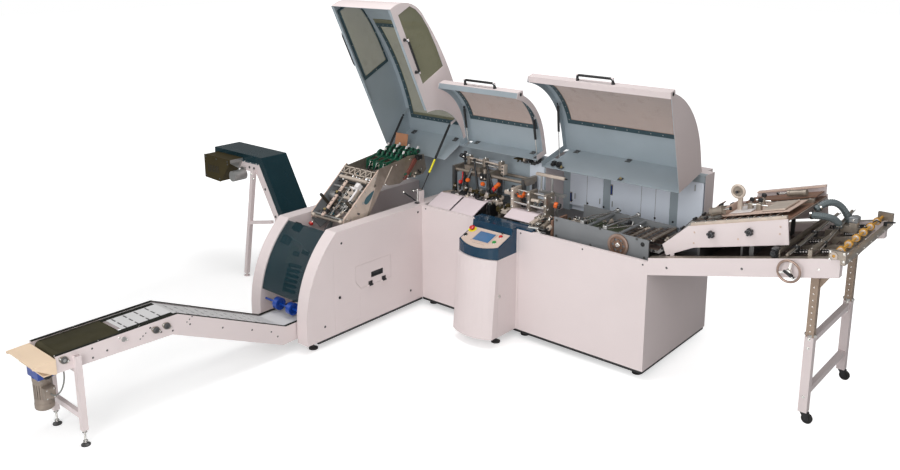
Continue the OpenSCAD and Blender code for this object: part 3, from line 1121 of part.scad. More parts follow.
// Bracket on the rear wall with the stud that the strut's eye turns on
module strut_bracket(x, p, back) {
    side = x > right_strut_x || x > middle_strut_x[1] ? 1 : -1;
    block([x - 3, p[0] - 14, p[1] - 14], [x + 3, back, p[1] + 14]);
    rod([x - 2 * side, p[0], p[1]], [x - side * 16, p[0], p[1]], stud_r, 32);
}
right_top = swung(right_c, right_open, right_hinge);
middle_top = swung(middle_c, middle_open, left_hinge);
left_top = swung(left_c, left_open, left_hinge);
module right_strut_rod() color("silver") strut_rod(right_strut_x, right_p, right_top, 280);
module right_strut_tube() color("dimgray") strut_tube(right_strut_x, right_p, right_top, 250);
module middle_strut_rods() color("silver") for (x = middle_strut_x) strut_rod(x, middle_p, middle_top, 230);
module middle_strut_tubes() color("dimgray") for (x = middle_strut_x) strut_tube(x, middle_p, middle_top, 200);
module left_strut_rods() color("silver") for (x = left_strut_x) strut_rod(x, left_p, left_top, 400);
module left_strut_tubes() color("dimgray") for (x = left_strut_x) strut_tube(x, left_p, left_top, 360);

base_frame();
front_panel();
end_panels();
rear_frame();
machine_bed();
near_wall();
far_wall();
throat_guard();
binding_station();
folder_frame();
console_body();
console_head();
control_fascia();
conveyor_frame();
conveyor_belt();
gearmotor();
motor_cable();
waste_conveyor();
waste_cover();
feeder_frame();
feeder_box();
feeder_deck();
feeder_hoses();
left_cover();
left_cover_panes();
left_strut_tubes();
left_strut_rods();
middle_cover();
middle_cover_pane();
middle_strut_tubes();
middle_strut_rods();
right_cover();
right_cover_pane();
right_strut_tube();
right_strut_rod();
hatch_door();
panel_lock();
throat_wheels();
fold_rollers();
knob_shaft();
green_wheels();
console_door();
emergency_stop();
green_button();
red_button();
black_button();
drive_roller();
idler_roller();
waste_drum();
handwheel();
crank_handle();
disc_wheel();
orange_wheels();
clamp_lever();
left_star_knob();
right_star_knob();
front_castor_fork();
front_castor_wheel();
rear_castor_fork();
rear_castor_wheel();
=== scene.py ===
import sys
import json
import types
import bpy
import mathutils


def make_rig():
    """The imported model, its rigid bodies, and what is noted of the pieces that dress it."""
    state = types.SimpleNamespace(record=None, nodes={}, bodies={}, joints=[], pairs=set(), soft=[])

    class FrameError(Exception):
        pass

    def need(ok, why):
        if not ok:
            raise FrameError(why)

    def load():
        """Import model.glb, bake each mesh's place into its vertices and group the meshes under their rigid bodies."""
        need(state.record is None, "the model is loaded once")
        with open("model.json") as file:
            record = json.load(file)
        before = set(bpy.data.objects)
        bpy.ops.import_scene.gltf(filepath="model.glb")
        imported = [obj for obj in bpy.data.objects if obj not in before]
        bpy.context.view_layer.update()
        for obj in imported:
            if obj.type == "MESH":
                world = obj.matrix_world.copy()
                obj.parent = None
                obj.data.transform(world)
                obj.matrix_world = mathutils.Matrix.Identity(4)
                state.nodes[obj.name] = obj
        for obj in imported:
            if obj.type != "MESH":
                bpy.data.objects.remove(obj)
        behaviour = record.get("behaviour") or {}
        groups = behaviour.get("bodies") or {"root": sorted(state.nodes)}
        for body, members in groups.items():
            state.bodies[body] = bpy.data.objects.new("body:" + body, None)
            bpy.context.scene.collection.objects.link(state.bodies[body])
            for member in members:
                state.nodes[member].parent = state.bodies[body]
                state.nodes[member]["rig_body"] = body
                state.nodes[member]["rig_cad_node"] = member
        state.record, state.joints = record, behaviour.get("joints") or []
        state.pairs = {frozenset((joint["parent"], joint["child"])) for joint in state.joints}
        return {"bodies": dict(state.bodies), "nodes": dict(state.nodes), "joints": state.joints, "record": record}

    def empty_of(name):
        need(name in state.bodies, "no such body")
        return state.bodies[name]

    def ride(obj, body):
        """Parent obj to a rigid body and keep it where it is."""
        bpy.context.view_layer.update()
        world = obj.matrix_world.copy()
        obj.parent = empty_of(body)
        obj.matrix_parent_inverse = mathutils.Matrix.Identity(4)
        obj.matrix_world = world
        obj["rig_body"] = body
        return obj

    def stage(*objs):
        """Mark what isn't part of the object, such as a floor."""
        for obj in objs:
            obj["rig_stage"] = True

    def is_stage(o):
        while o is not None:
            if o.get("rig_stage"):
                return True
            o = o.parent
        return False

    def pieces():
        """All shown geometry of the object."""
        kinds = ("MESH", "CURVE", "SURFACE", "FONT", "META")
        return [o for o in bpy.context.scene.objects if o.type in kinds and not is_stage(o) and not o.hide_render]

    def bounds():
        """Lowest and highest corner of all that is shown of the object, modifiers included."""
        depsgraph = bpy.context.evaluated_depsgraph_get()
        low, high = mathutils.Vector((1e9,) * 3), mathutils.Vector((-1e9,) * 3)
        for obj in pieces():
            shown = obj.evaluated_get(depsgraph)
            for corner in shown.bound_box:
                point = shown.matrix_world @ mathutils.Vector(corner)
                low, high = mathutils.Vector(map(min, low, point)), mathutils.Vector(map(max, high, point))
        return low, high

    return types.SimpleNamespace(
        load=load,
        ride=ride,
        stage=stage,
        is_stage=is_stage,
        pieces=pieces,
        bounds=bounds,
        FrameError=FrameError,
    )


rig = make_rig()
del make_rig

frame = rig.load()
CAD_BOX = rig.bounds()

import json
from math import atan2, cos, degrees, pi, radians, sin, tan

import bpy
import numpy as np
from mathutils import Matrix, Vector

Operator = bpy.types.Operator

bl_info = {
    "name": "Perfect Binding Machine",
    "version": (1, 0, 0),
    "blender": (4, 5, 0),
    "location": "View3D > Sidebar > Binding Machine",
    "description": "Finishes, small parts and studio stage of a perfect binding machine",
    "category": "Object",
}

# Lengths are in metres. The machine's own datum lies this far from the frame's origin.
DATUM = np.array([0.09, -0.09, 0.0])
UNIT_L, WALL_T, FOLD_W = 2.243, 0.123, 0.721
X_LEFT, WALL_IN, FOLD_X = -UNIT_L, -UNIT_L - WALL_T, -UNIT_L - FOLD_W
FAR_IN = FOLD_X + WALL_T
PANEL_TOP, BED_Z, HINGE_Z = 0.95, 0.89, 1.44
CON_R, CON_L = -1.19, -1.6
FASCIA = radians(19.2)
COVERS = {  # hinge y, opening angle, x span, radius, end of the arc in degrees
    "right_cover": (0.9, 76.0, -1.31, -0.03, 0.72, 156.0),
    "middle_cover": (0.615, 76.0, -2.19, -1.33, 0.56, 150.5),
    "left_cover": (0.615, 64.0, FOLD_X, X_LEFT, 2.6, 0.0),
}
BEAM, BOX_TOP = tan(radians(13.3)), tan(radians(15.8))
POLE = 1e-5  # radius at which a turned piece closes on its axis
# Place of the camera in the machine's datum, its turn and tilt, and its lens in millimetres.
CAMERA_AT, CAMERA_TURN, CAMERA_TILT, LENS = (2.837, -5.532, 3.205), radians(40.65), radians(12.803), 34.863
LAMPS = (  # name, place, size and watts of the area lamps that look at AIM
    ("key", (1.5, -6.0, 5.0), 3.5, 130),
    ("front", (0.0, -7.0, 2.2), 3.0, 135),
    ("fill", (-5.5, -5.0, 4.5), 5.0, 55),
    ("top", (-1.6, -0.8, 6.0), 2.6, 135),
    ("side", (4.5, -1.5, 3.0), 2.0, 35),
)
AIM = (-1.2, -0.4, 0.8)
# Half the floor's width, the place round which it shows its shadow, and the world's strength on the machine.
FLOOR_HALF, SHADOW_AT, WORLD_LIGHT = 40.0, (-2.2, -1.6, 0), 0.27
RIGHT, LEFT, BACK, FRONT, UP, DOWN = (1, 0, 0), (-1, 0, 0), (0, 1, 0), (0, -1, 0), (0, 0, 1), (0, 0, -1)


def beam_z(x):
    """Height of the feeder's beam at x: a line that rises by BEAM."""
    return PANEL_TOP + 0.031 + x * BEAM


def box_top(x):
    """Height of the feeder housing's top at x: a line that rises by BOX_TOP."""
    return 1.255 + (x - 0.25) * BOX_TOP


# --- settings
def length(name, text, default):
    return bpy.props.FloatProperty(name=name, description=text, default=default, min=0.0, unit="LENGTH")


def paint(name, text, default):
    return bpy.props.FloatVectorProperty(name=name, description=text, default=default, size=3, min=0.0, max=1.0,
        subtype="COLOR")


class BinderFinish(bpy.types.PropertyGroup):
    casing: paint("Casing", "Paint of the casing panels", (0.74, 0.65, 0.645))
    lining: paint("Lining", "Blue-grey paint inside the covers and on the rear wall", (0.365, 0.425, 0.465))
    tinted: paint("Tinted plastic", "Dark blue of the console head and guards", (0.004, 0.038, 0.078))
    steel: paint("Steel", "Bare steel of plates and rails", (0.42, 0.42, 0.41))
    belt: paint("Belt", "Conveyor belt", (0.044, 0.039, 0.02))
    wheel: paint("Guide wheels", "Blue guide wheels in the throat", (0.004, 0.06, 0.38))


class BinderSizes(bpy.types.PropertyGroup):
    rivet: length("Rivet head", "Radius of a rivet head on the window borders", 0.005)
    strip: length("Window strip", "Width of the dark strips round the windows", 0.04)
    bolt: length("Bolt head", "Radius of a hexagon bolt head", 0.0075)


# --- node groups
def new_group(name, outputs, **inputs):
    """Shader node group. An input's socket is a float, a vector or a colour, as its default is."""
    g = bpy.data.node_groups.new(name, "ShaderNodeTree")
    for key, value in inputs.items():
        kind = "Float" if isinstance(value, float) else {3: "Vector", 4: "Color"}[len(value)]
        s = g.interface.new_socket(name=key, in_out="INPUT", socket_type="NodeSocket" + kind)
        s.default_value = value
    for key, kind in outputs.items():
        g.interface.new_socket(name=key, in_out="OUTPUT", socket_type="NodeSocket" + kind)
    return g, g.nodes.new("NodeGroupInput"), g.nodes.new("NodeGroupOutput")


def node(tree, kind, links=(), **values):
    """Adds a node, sets its properties and inputs, and links (socket, source) pairs."""
    n = tree.nodes.new(kind)
    for key, value in values.items():
        if hasattr(n, key):
            setattr(n, key, value)
        else:
            n.inputs[key.replace("_", " ")].default_value = value
    for socket, source in links:
        tree.links.new(source, n.inputs[socket])
    return n


def ramp(tree, source, low, high, a=0.0, b=1.0):
    """Maps the range low to high onto a to b, clamped."""
    n = tree.nodes.new("ShaderNodeMapRange")
    for key, value in (("From Min", low), ("From Max", high), ("To Min", a), ("To Max", b)):
        n.inputs[key].default_value = value
    tree.links.new(source, n.inputs["Value"])
    return n.outputs["Result"]


def maths(tree, operation, a, b, clamp=False):
    """Output of a Math node on two sources, or on a source and a number."""
    links = [(k, v) for k, v in enumerate((a, b)) if not isinstance(v, float)]
    n = node(tree, "ShaderNodeMath", links, operation=operation, use_clamp=clamp)
    if len(links) == 1:
        n.inputs[1].default_value = b
    return n.outputs[0]


def mottle_group():
    """Colour varied by slow cloudy noise and darkened a little by fine specks."""
    g, i, o = new_group("Mottle", {"Color": "Color", "Mask": "Float"}, Color=(0.8, 0.8, 0.8, 1), Amount=0.05,
        Scale=4.0, Specks=0.0)
    at = node(g, "ShaderNodeTexCoord").outputs["Object"]
    cloud = node(g, "ShaderNodeTexNoise", [("Vector", at), ("Scale", i.outputs["Scale"])], Detail=4.0)
    fine = node(g, "ShaderNodeTexNoise", [("Vector", at)], Scale=140.0, Detail=2.0)
    speck = ramp(g, fine.outputs["Fac"], 0.6, 0.72)
    light = ramp(g, cloud.outputs["Fac"], 0.3, 0.7, -1.0, 1.0)
    part = maths(g, "MULTIPLY", light, i.outputs["Amount"])
    drop = maths(g, "MULTIPLY", speck, i.outputs["Specks"])
    gain = maths(g, "ADD", maths(g, "SUBTRACT", part, drop), 1.0)
    mix = node(g, "ShaderNodeVectorMath", [(0, i.outputs["Color"]), ("Scale", gain)], operation="SCALE")
    g.links.new(mix.outputs[0], o.inputs["Color"])
    g.links.new(light, o.inputs["Mask"])
    return g


def grain_group():
    """Height and roughness of fine grain, stretched along one axis where Stretch differs from one."""
    g, i, o = new_group("Grain", {"Height": "Float", "Roughness": "Float"}, Scale=300.0, Stretch=(1, 1, 1),
        Rough=0.4, Spread=0.1)
    at = node(g, "ShaderNodeTexCoord").outputs["Object"]
    pull = node(g, "ShaderNodeVectorMath", [(0, at), (1, i.outputs["Stretch"])], operation="MULTIPLY")
    grain = node(g, "ShaderNodeTexNoise", [("Vector", pull.outputs[0]), ("Scale", i.outputs["Scale"])], Detail=3.0)
    slow = node(g, "ShaderNodeTexNoise", [("Vector", at)], Scale=9.0, Detail=3.0)
    off = maths(g, "SUBTRACT", maths(g, "ADD", grain.outputs["Fac"], slow.outputs["Fac"]), 1.0)
    part = maths(g, "MULTIPLY", off, i.outputs["Spread"])
    g.links.new(grain.outputs["Fac"], o.inputs["Height"])
    g.links.new(maths(g, "ADD", part, i.outputs["Rough"], True), o.inputs["Roughness"])
    return g


def dust_group():
    """Mask of dust that settles on faces that look up, broken by noise."""
    g, i, o = new_group("Dust", {"Mask": "Float"}, Amount=0.1)
    up = node(g, "ShaderNodeSeparateXYZ", [("Vector", node(g, "ShaderNodeTexCoord").outputs["Normal"])])
    face = ramp(g, up.outputs["Z"], 0.35, 0.95)
    cloud = node(g, "ShaderNodeTexNoise", [("Vector", node(g, "ShaderNodeTexCoord").outputs["Object"])],
        Scale=11.0, Detail=5.0)
    part = maths(g, "MULTIPLY", face, ramp(g, cloud.outputs["Fac"], 0.35, 0.7))
    g.links.new(maths(g, "MULTIPLY", part, i.outputs["Amount"]), o.inputs["Mask"])
    return g


GROUPS = {}


def use(tree, name, **values):
    if name not in GROUPS:
        GROUPS[name] = {"Mottle": mottle_group, "Grain": grain_group, "Dust": dust_group}[name]()
    n = tree.nodes.new("ShaderNodeGroup")
    n.node_tree = GROUPS[name]
    for key, value in values.items():
        n.inputs[key].default_value = value
    return n


MATS = {}


def finish(name, color, rough, mottle, scale, metal=0.0, specks=0.0, grain=300.0, stretch=(1, 1, 1), spread=0.1,
        bump=0.02, dust=0.0, coat=0.0, alpha=1.0, spec=0.5):
    """Principled material fed by the Mottle, Grain and Dust groups. Mottle and scale are the clouding's."""
    m = bpy.data.materials.new(name)
    m.use_nodes = True
    t = m.node_tree
    b = t.nodes["Principled BSDF"]
    b.inputs["Metallic"].default_value = metal
    b.inputs["Coat Weight"].default_value = coat
    b.inputs["Alpha"].default_value = alpha
    b.inputs["Specular IOR Level"].default_value = spec
    cloud = use(t, "Mottle", Color=(*color, 1), Amount=mottle, Scale=scale, Specks=specks)
    g = use(t, "Grain", Scale=grain, Stretch=stretch, Rough=rough, Spread=spread)
    colour = cloud.outputs["Color"]
    if dust:
        d = use(t, "Dust", Amount=dust)
        mix = node(t, "ShaderNodeMix", data_type="RGBA")
        t.links.new(d.outputs["Mask"], mix.inputs["Factor"])
        t.links.new(colour, mix.inputs["A"])
        mix.inputs["B"].default_value = (0.42, 0.4, 0.38, 1)
        colour = mix.outputs["Result"]
    t.links.new(colour, b.inputs["Base Color"])
    t.links.new(g.outputs["Roughness"], b.inputs["Roughness"])
    if bump:
        h = node(t, "ShaderNodeBump", [("Height", g.outputs["Height"])], Strength=bump, Distance=0.001)
        t.links.new(h.outputs["Normal"], b.inputs["Normal"])
    MATS[name] = m


def all_finishes():
    c = bpy.context.scene.binder_finish
    finish("casing_white", tuple(c.casing), 0.42, 0.025, 2.0, specks=0.02, grain=900, spread=0.08)
    finish("lining_blue", tuple(c.lining), 0.42, 0.06, 3.0, specks=0.03, grain=700, dust=0.05)
    finish("strip_dark", (0.05, 0.085, 0.1), 0.38, 0.1, 9.0, grain=400, spec=0.3)
    finish("steel_warm", (0.36, 0.31, 0.26), 0.36, 0.16, 12.0, metal=0.65, grain=160, bump=0.06)
    finish("cream_metal", (0.62, 0.53, 0.45), 0.42, 0.12, 12.0, metal=0.35, grain=260, bump=0.04)
    finish("cream_pink", (0.66, 0.5, 0.42), 0.5, 0.06, 7.0, grain=500)
    finish("white_part", (0.8, 0.76, 0.75), 0.4, 0.04, 9.0)
    finish("sheet_white", (0.7, 0.6, 0.62), 0.5, 0.03, 6.0)
    finish("guard_teal", (0.03, 0.105, 0.13), 0.3, 0.14, 9.0)
    finish("guard_glass", (0.006, 0.036, 0.048), 0.25, 0.2, 2.5, alpha=0.58, bump=0.0, spec=0.25)
    finish("black_knurled", (0.085, 0.072, 0.055), 0.38, 0.15, 30.0, metal=0.6)
    finish("red_brown", (0.2, 0.06, 0.045), 0.5, 0.12, 14.0)
    finish("board_brown", (0.5, 0.23, 0.12), 0.65, 0.1, 6.0)
    finish("belt_brown", (0.1, 0.07, 0.055), 0.6, 0.12, 12.0)
    finish("ramp_brown", (0.115, 0.08, 0.07), 0.45, 0.1, 7.0, metal=0.2)
    finish("plate_grey", (0.235, 0.245, 0.255), 0.45, 0.06, 5.0, metal=0.15, grain=500)
    finish("slide_green", (0.05, 0.062, 0.03), 0.45, 0.14, 9.0)
    finish("seam_grey", (0.25, 0.25, 0.27), 0.6, 0.05, 8.0)
    finish("slot_dark", (0.05, 0.052, 0.055), 0.7, 0.1, 20.0)
    finish("screw_dark", (0.06, 0.06, 0.065), 0.4, 0.1, 30.0, metal=0.6)
    finish("rim_brown", (0.38, 0.27, 0.22), 0.3, 0.14, 20.0, metal=0.5)
    finish("post_brown", (0.36, 0.27, 0.205), 0.45, 0.1, 8.0, metal=0.25)
    # pale blue-white of the rear wall's doors, made paler still as painted light, since the doors lie in shade under
    # the open covers
    finish("rear_panel", (0.78, 0.84, 0.93), 0.35, 0.04, 2.5, grain=700)
    finish("tinted", tuple(c.tinted), 0.18, 0.12, 3.0, coat=0.2, bump=0.0, dust=0.02, spec=0.35)
    finish("smoked", (0.01, 0.034, 0.044), 0.25, 0.15, 2.5, alpha=0.93, bump=0.0, spec=0.25)
    finish("clear_pane", (0.405, 0.275, 0.222), 0.3, 0.05, 2.0, alpha=0.66, bump=0.0, spread=0.18, spec=0.3)
    finish("clear_grey", (0.24, 0.235, 0.15), 0.3, 0.08, 2.0, alpha=0.7, bump=0.0, spread=0.18, spec=0.3)
    finish("fascia_cream", (0.6, 0.47, 0.4), 0.5, 0.04, 4.0, grain=1200, bump=0.05)
    finish("screen", (0.06, 0.16, 0.32), 0.1, 0.1, 12.0, coat=0.8, bump=0.0)
    finish("steel", tuple(c.steel), 0.36, 0.1, 8.0, metal=0.75, grain=90, stretch=(0.05, 1, 1), bump=0.06,
            dust=0.08)
    finish("steel_dark", (0.12, 0.12, 0.12), 0.42, 0.18, 10.0, metal=0.7, grain=200, bump=0.08)
    finish("grey_plate", (0.19, 0.18, 0.18), 0.5, 0.08, 5.0, metal=0.2, specks=0.05, grain=500)
    finish("chrome", (0.78, 0.77, 0.74), 0.12, 0.04, 4.0, metal=1.0, grain=120, bump=0.01)
    finish("brass", (0.55, 0.44, 0.2), 0.35, 0.12, 20.0, metal=0.8)
    finish("black_plastic", (0.012, 0.012, 0.013), 0.38, 0.2, 20.0, grain=900, bump=0.06)
    finish("black_metal", (0.02, 0.021, 0.023), 0.32, 0.15, 14.0, metal=0.2)
    finish("rubber", (0.018, 0.018, 0.018), 0.75, 0.25, 30.0, grain=700, bump=0.15, dust=0.06)
    finish("belt", tuple(c.belt), 0.7, 0.14, 6.0, grain=900, stretch=(1, 0.3, 1), bump=0.15, dust=0.02, spec=0.15)
    finish("belt_edge", (0.012, 0.013, 0.009), 0.6, 0.15, 12.0, spec=0.15)
    finish("slotted", (0.66, 0.65, 0.65), 0.45, 0.03, 5.0)
    finish("wheel_blue", tuple(c.wheel), 0.3, 0.1, 20.0, coat=0.6)
    finish("wheel_green", (0.012, 0.11, 0.06), 0.35, 0.25, 25.0, coat=0.2)
    finish("knob_orange", (0.72, 0.13, 0.015), 0.4, 0.1, 30.0)
    finish("wheel_yellow", (0.72, 0.36, 0.05), 0.5, 0.12, 30.0)
    finish("knob_red", (0.55, 0.015, 0.012), 0.25, 0.06, 30.0, coat=0.4)
    finish("button_green", (0.03, 0.3, 0.06), 0.3, 0.06, 30.0, coat=0.3)
    finish("label_yellow", (0.85, 0.75, 0.02), 0.4, 0.05, 30.0)
    finish("motor_blue", (0.015, 0.055, 0.3), 0.35, 0.15, 18.0, coat=0.2, dust=0.03)
    finish("motor_grey", (0.29, 0.24, 0.2), 0.45, 0.15, 14.0, metal=0.4, bump=0.1, dust=0.12)
    finish("olive", (0.05, 0.038, 0.014), 0.5, 0.12, 6.0, grain=500, spec=0.15)
    finish("disc_brown", (0.28, 0.17, 0.12), 0.35, 0.18, 16.0, metal=0.5, grain=140, bump=0.06)
    finish("hose", (0.145, 0.175, 0.185), 0.45, 0.1, 12.0, grain=400)
    finish("cream", (0.8, 0.62, 0.45), 0.55, 0.04, 5.0)
    finish("cable", (0.16, 0.16, 0.15), 0.6, 0.1, 40.0)
    finish("foot_pad", (0.03, 0.028, 0.028), 0.6, 0.15, 20.0)
    finish("wood_brown", (0.22, 0.12, 0.08), 0.5, 0.15, 9.0, stretch=(0.1, 1, 1), grain=60, bump=0.05)


FINISH_NODES = {  # finish of the frame's nodes
    "steel_dark": "base_frame binding_station knob_shaft",
    "casing_white": "front_panel end_panels near_wall far_wall console_body conveyor_frame waste_conveyor "
        "feeder_frame feeder_box left_cover middle_cover right_cover hatch_door console_door",
    "lining_blue": "rear_frame",
    "grey_plate": "machine_bed",
    "guard_glass": "throat_guard",
    "steel": "folder_frame feeder_deck fold_rollers drive_roller idler_roller waste_drum",
    "tinted": "console_head",
    "fascia_cream": "control_fascia",
    "belt": "conveyor_belt",
    "motor_blue": "gearmotor",
    "cable": "motor_cable",
    "smoked": "waste_cover",
    "hose": "feeder_hoses",
    "clear_grey": "left_cover_panes",
    "clear_pane": "middle_cover_pane right_cover_pane",
    "black_metal": "left_strut_tubes left_strut_rods middle_strut_tubes right_strut_tube panel_lock "
        "front_castor_fork rear_castor_fork",
    "chrome": "middle_strut_rods right_strut_rod handwheel",
    "wheel_blue": "throat_wheels",
    "wheel_green": "green_wheels",
    "knob_red": "emergency_stop red_button",
    "button_green": "green_button",
    "black_plastic": "black_button crank_handle clamp_lever left_star_knob right_star_knob",
    "disc_brown": "disc_wheel",
    "wheel_yellow": "orange_wheels",
    "rubber": "front_castor_wheel rear_castor_wheel",
}
NODE_FINISH = {node: key for key, nodes in FINISH_NODES.items() for node in nodes.split()}


def faces_of(mesh):
    """Centres and normals of a mesh's faces, as arrays in the machine's own datum."""
    n = len(mesh.polygons)
    centre, normal = np.zeros(3 * n, np.float32), np.zeros(3 * n, np.float32)
    mesh.polygons.foreach_get("center", centre)
    mesh.polygons.foreach_get("normal", normal)
    return centre.reshape(-1, 3) - DATUM, normal.reshape(-1, 3)


def repaint(name, *rules):
    """Gives a CAD node its finish, then each (finish, test) its faces, where test takes x, y, z and normals."""
    mesh = frame["nodes"][name].data
    mesh.materials.clear()
    mesh.materials.append(MATS[NODE_FINISH[name]])
    if not rules:
        return
    centre, normal = faces_of(mesh)
    index = np.zeros(len(mesh.polygons), np.int32)
    for key, test in rules:
        mesh.materials.append(MATS[key])
        index[test(*centre.T, normal)] = len(mesh.materials) - 1
    mesh.polygons.foreach_set("material_index", index)


def unswing(points, hinge_y, angle):
    """Turns points of an open cover back into its closed pose, relative to the hinge line."""
    a = radians(angle)
    y, z = points[:, 1] - hinge_y, points[:, 2] - HINGE_Z
    return np.stack([points[:, 0], y * cos(a) - z * sin(a), y * sin(a) + z * cos(a)], 1)


def swing(points, name):
    """Places points given in a cover's closed pose, relative to its hinge line, in its open pose."""
    hinge_y, angle = COVERS[name][:2]
    a = radians(-angle)
    x, y, z = np.moveaxis(np.asarray(points, float), -1, 0)
    return np.stack([x, hinge_y + y * cos(a) - z * sin(a), HINGE_Z + y * sin(a) + z * cos(a)], -1)


def inner_side(name):
    """Test for the faces of a cover that look into it."""
    hinge_y, angle, x0, x1 = COVERS[name][:4]
    inside_y, inside_z = (-0.75, -0.6) if name == "left_cover" else (-0.35, -0.45)

    def test(x, y, z, normal):
        c = unswing(np.stack([x, y, z], 1), hinge_y, angle)
        n = unswing(normal + [0, hinge_y, HINGE_Z], hinge_y, angle)
        facing = n[:, 1] * (inside_y - c[:, 1]) + n[:, 2] * (inside_z - c[:, 2]) > 0.02
        side = np.abs(n[:, 0]) > 0.7
        inward = side & (np.sign((x0 + x1) / 2 - c[:, 0]) == np.sign(n[:, 0]))
        return np.where(side, inward, facing)

    return test


# --- surfaces
def outward(mesh):
    """Turns every shell's faces outwards."""
    import bmesh
    b = bmesh.new()
    b.from_mesh(mesh)
    bmesh.ops.recalc_face_normals(b, faces=b.faces)
    b.to_mesh(mesh)
    b.free()


def shade(o, angle=40):
    """Smooth shading with edges over the angle kept sharp."""
    o.data.shade_smooth()
    o.data.set_sharp_from_angle(angle=radians(angle))


def turn(n):
    """Angles that part a full turn into n."""
    return np.linspace(0, 2 * pi, n, endpoint=False)


def span(a, b):
    """Two points as arrays, and the distance between them."""
    a, b = np.array(a, float), np.array(b, float)
    return a, b, np.linalg.norm(b - a)


def frame_at(direction):
    """Two unit vectors across a direction."""
    d = np.asarray(direction, float)
    d = d / np.linalg.norm(d)
    side = np.array([0, 0, 1.0]) if abs(d[2]) < 0.9 else np.array([1.0, 0, 0])
    u = np.cross(d, side)
    u /= np.linalg.norm(u)
    return d, u, np.cross(d, u)


def lathe(axis_point, direction, profile, n=24):
    """Profile of (distance along the axis, radius) turned once round the axis."""
    d, u, v = frame_at(direction)
    t = turn(n)
    p = np.asarray(profile, float)
    round_ = np.cos(t)[None, :, None] * u + np.sin(t)[None, :, None] * v
    return np.asarray(axis_point, float) + p[:, 0, None, None] * d + p[:, 1, None, None] * round_


def bolt_profile(r, h):
    """Washer, hexagon-sized body and domed end of a bolt head of radius r and height h."""
    return [(0, 1.5 * r), (0.18 * h, 1.5 * r), (0.18 * h, r), (0.85 * h, r), (h, 0.8 * r), (h, 0.001 * r)]


def dome_profile(r, h):
    """Quarter of an ellipse from the rim to the crown of a rivet head."""
    t = np.linspace(0, pi / 2, 4)
    return np.stack([h * np.sin(t), r * np.cos(t) + POLE], 1)


def slab(a, b, r):
    """Box between two corners whose four upright edges are rounded by r and whose ends are drawn in by r."""
    a, b = np.minimum(a, b), np.maximum(a, b)
    r = min(r, *(0.45 * (b - a)))
    t = np.linspace(0, pi / 2, 4)
    corner = np.stack([np.cos(t), np.sin(t)], 1)
    quarter = [corner, corner[:, ::-1] * [-1, 1], -corner, corner[:, ::-1] * [1, -1]]
    centre = np.array([[b[0] - r, b[1] - r], [a[0] + r, b[1] - r], [a[0] + r, a[1] + r], [b[0] - r, a[1] + r]])
    rings = []
    for z, s in ((a[2], 0.0), (a[2] + r, 1.0), (b[2] - r, 1.0), (b[2], 0.0)):
        ring = np.concatenate([centre[k] + quarter[k] * r * s for k in range(4)])
        rings.append(np.column_stack([ring, np.full(len(ring), z)]))
    return np.stack(rings)


def tube(path, r, n):
    """Circle of radius r, or of one radius per point, carried along a path of points."""
    p = np.asarray(path, float)
    t = np.gradient(p, axis=0)
    t /= np.linalg.norm(t, axis=1)[:, None]
    ref = np.array([0.13, 0.21, 0.97]) if abs(t[:, 2]).max() < 0.95 else np.array([0.97, 0.21, 0.13])
    u = np.cross(t, ref)
    u /= np.linalg.norm(u, axis=1)[:, None]
    v = np.cross(t, u)
    a = turn(n)
    rr = np.broadcast_to(np.asarray(r, float), (len(p),))[:, None, None]
    return p[:, None] + rr * (np.cos(a)[None, :, None] * u[:, None] + np.sin(a)[None, :, None] * v[:, None])


def bezier(points, n):
    """Cubic curve through four control points."""
    p = np.asarray(points, float)
    t = np.linspace(0, 1, n)[:, None]
    return (1 - t) ** 3 * p[0] + 3 * (1 - t) ** 2 * t * p[1] + 3 * (1 - t) * t ** 2 * p[2] + t ** 3 * p[3]


def prism(outline, x0, x1, axis=0):
    """Closed outline of pairs carried from x0 to x1 along an axis."""
    q = np.asarray(outline, float)
    return np.stack([np.insert(q, axis, x, 1) for x in (x0, x1)])


KITS = []


def make_kits():
    """Makes the pieces that an operator has drawn, in their order."""
    while KITS:
        KITS.pop(0).make()
    return {"FINISHED"}


def spaced(corners, n):
    """Path through corner points, each stretch cut into n - 1 steps."""
    stretches = [np.linspace(a, b, n)[:-1] for a, b in zip(corners, corners[1:])]
    return np.concatenate(stretches + [corners[-1:]])


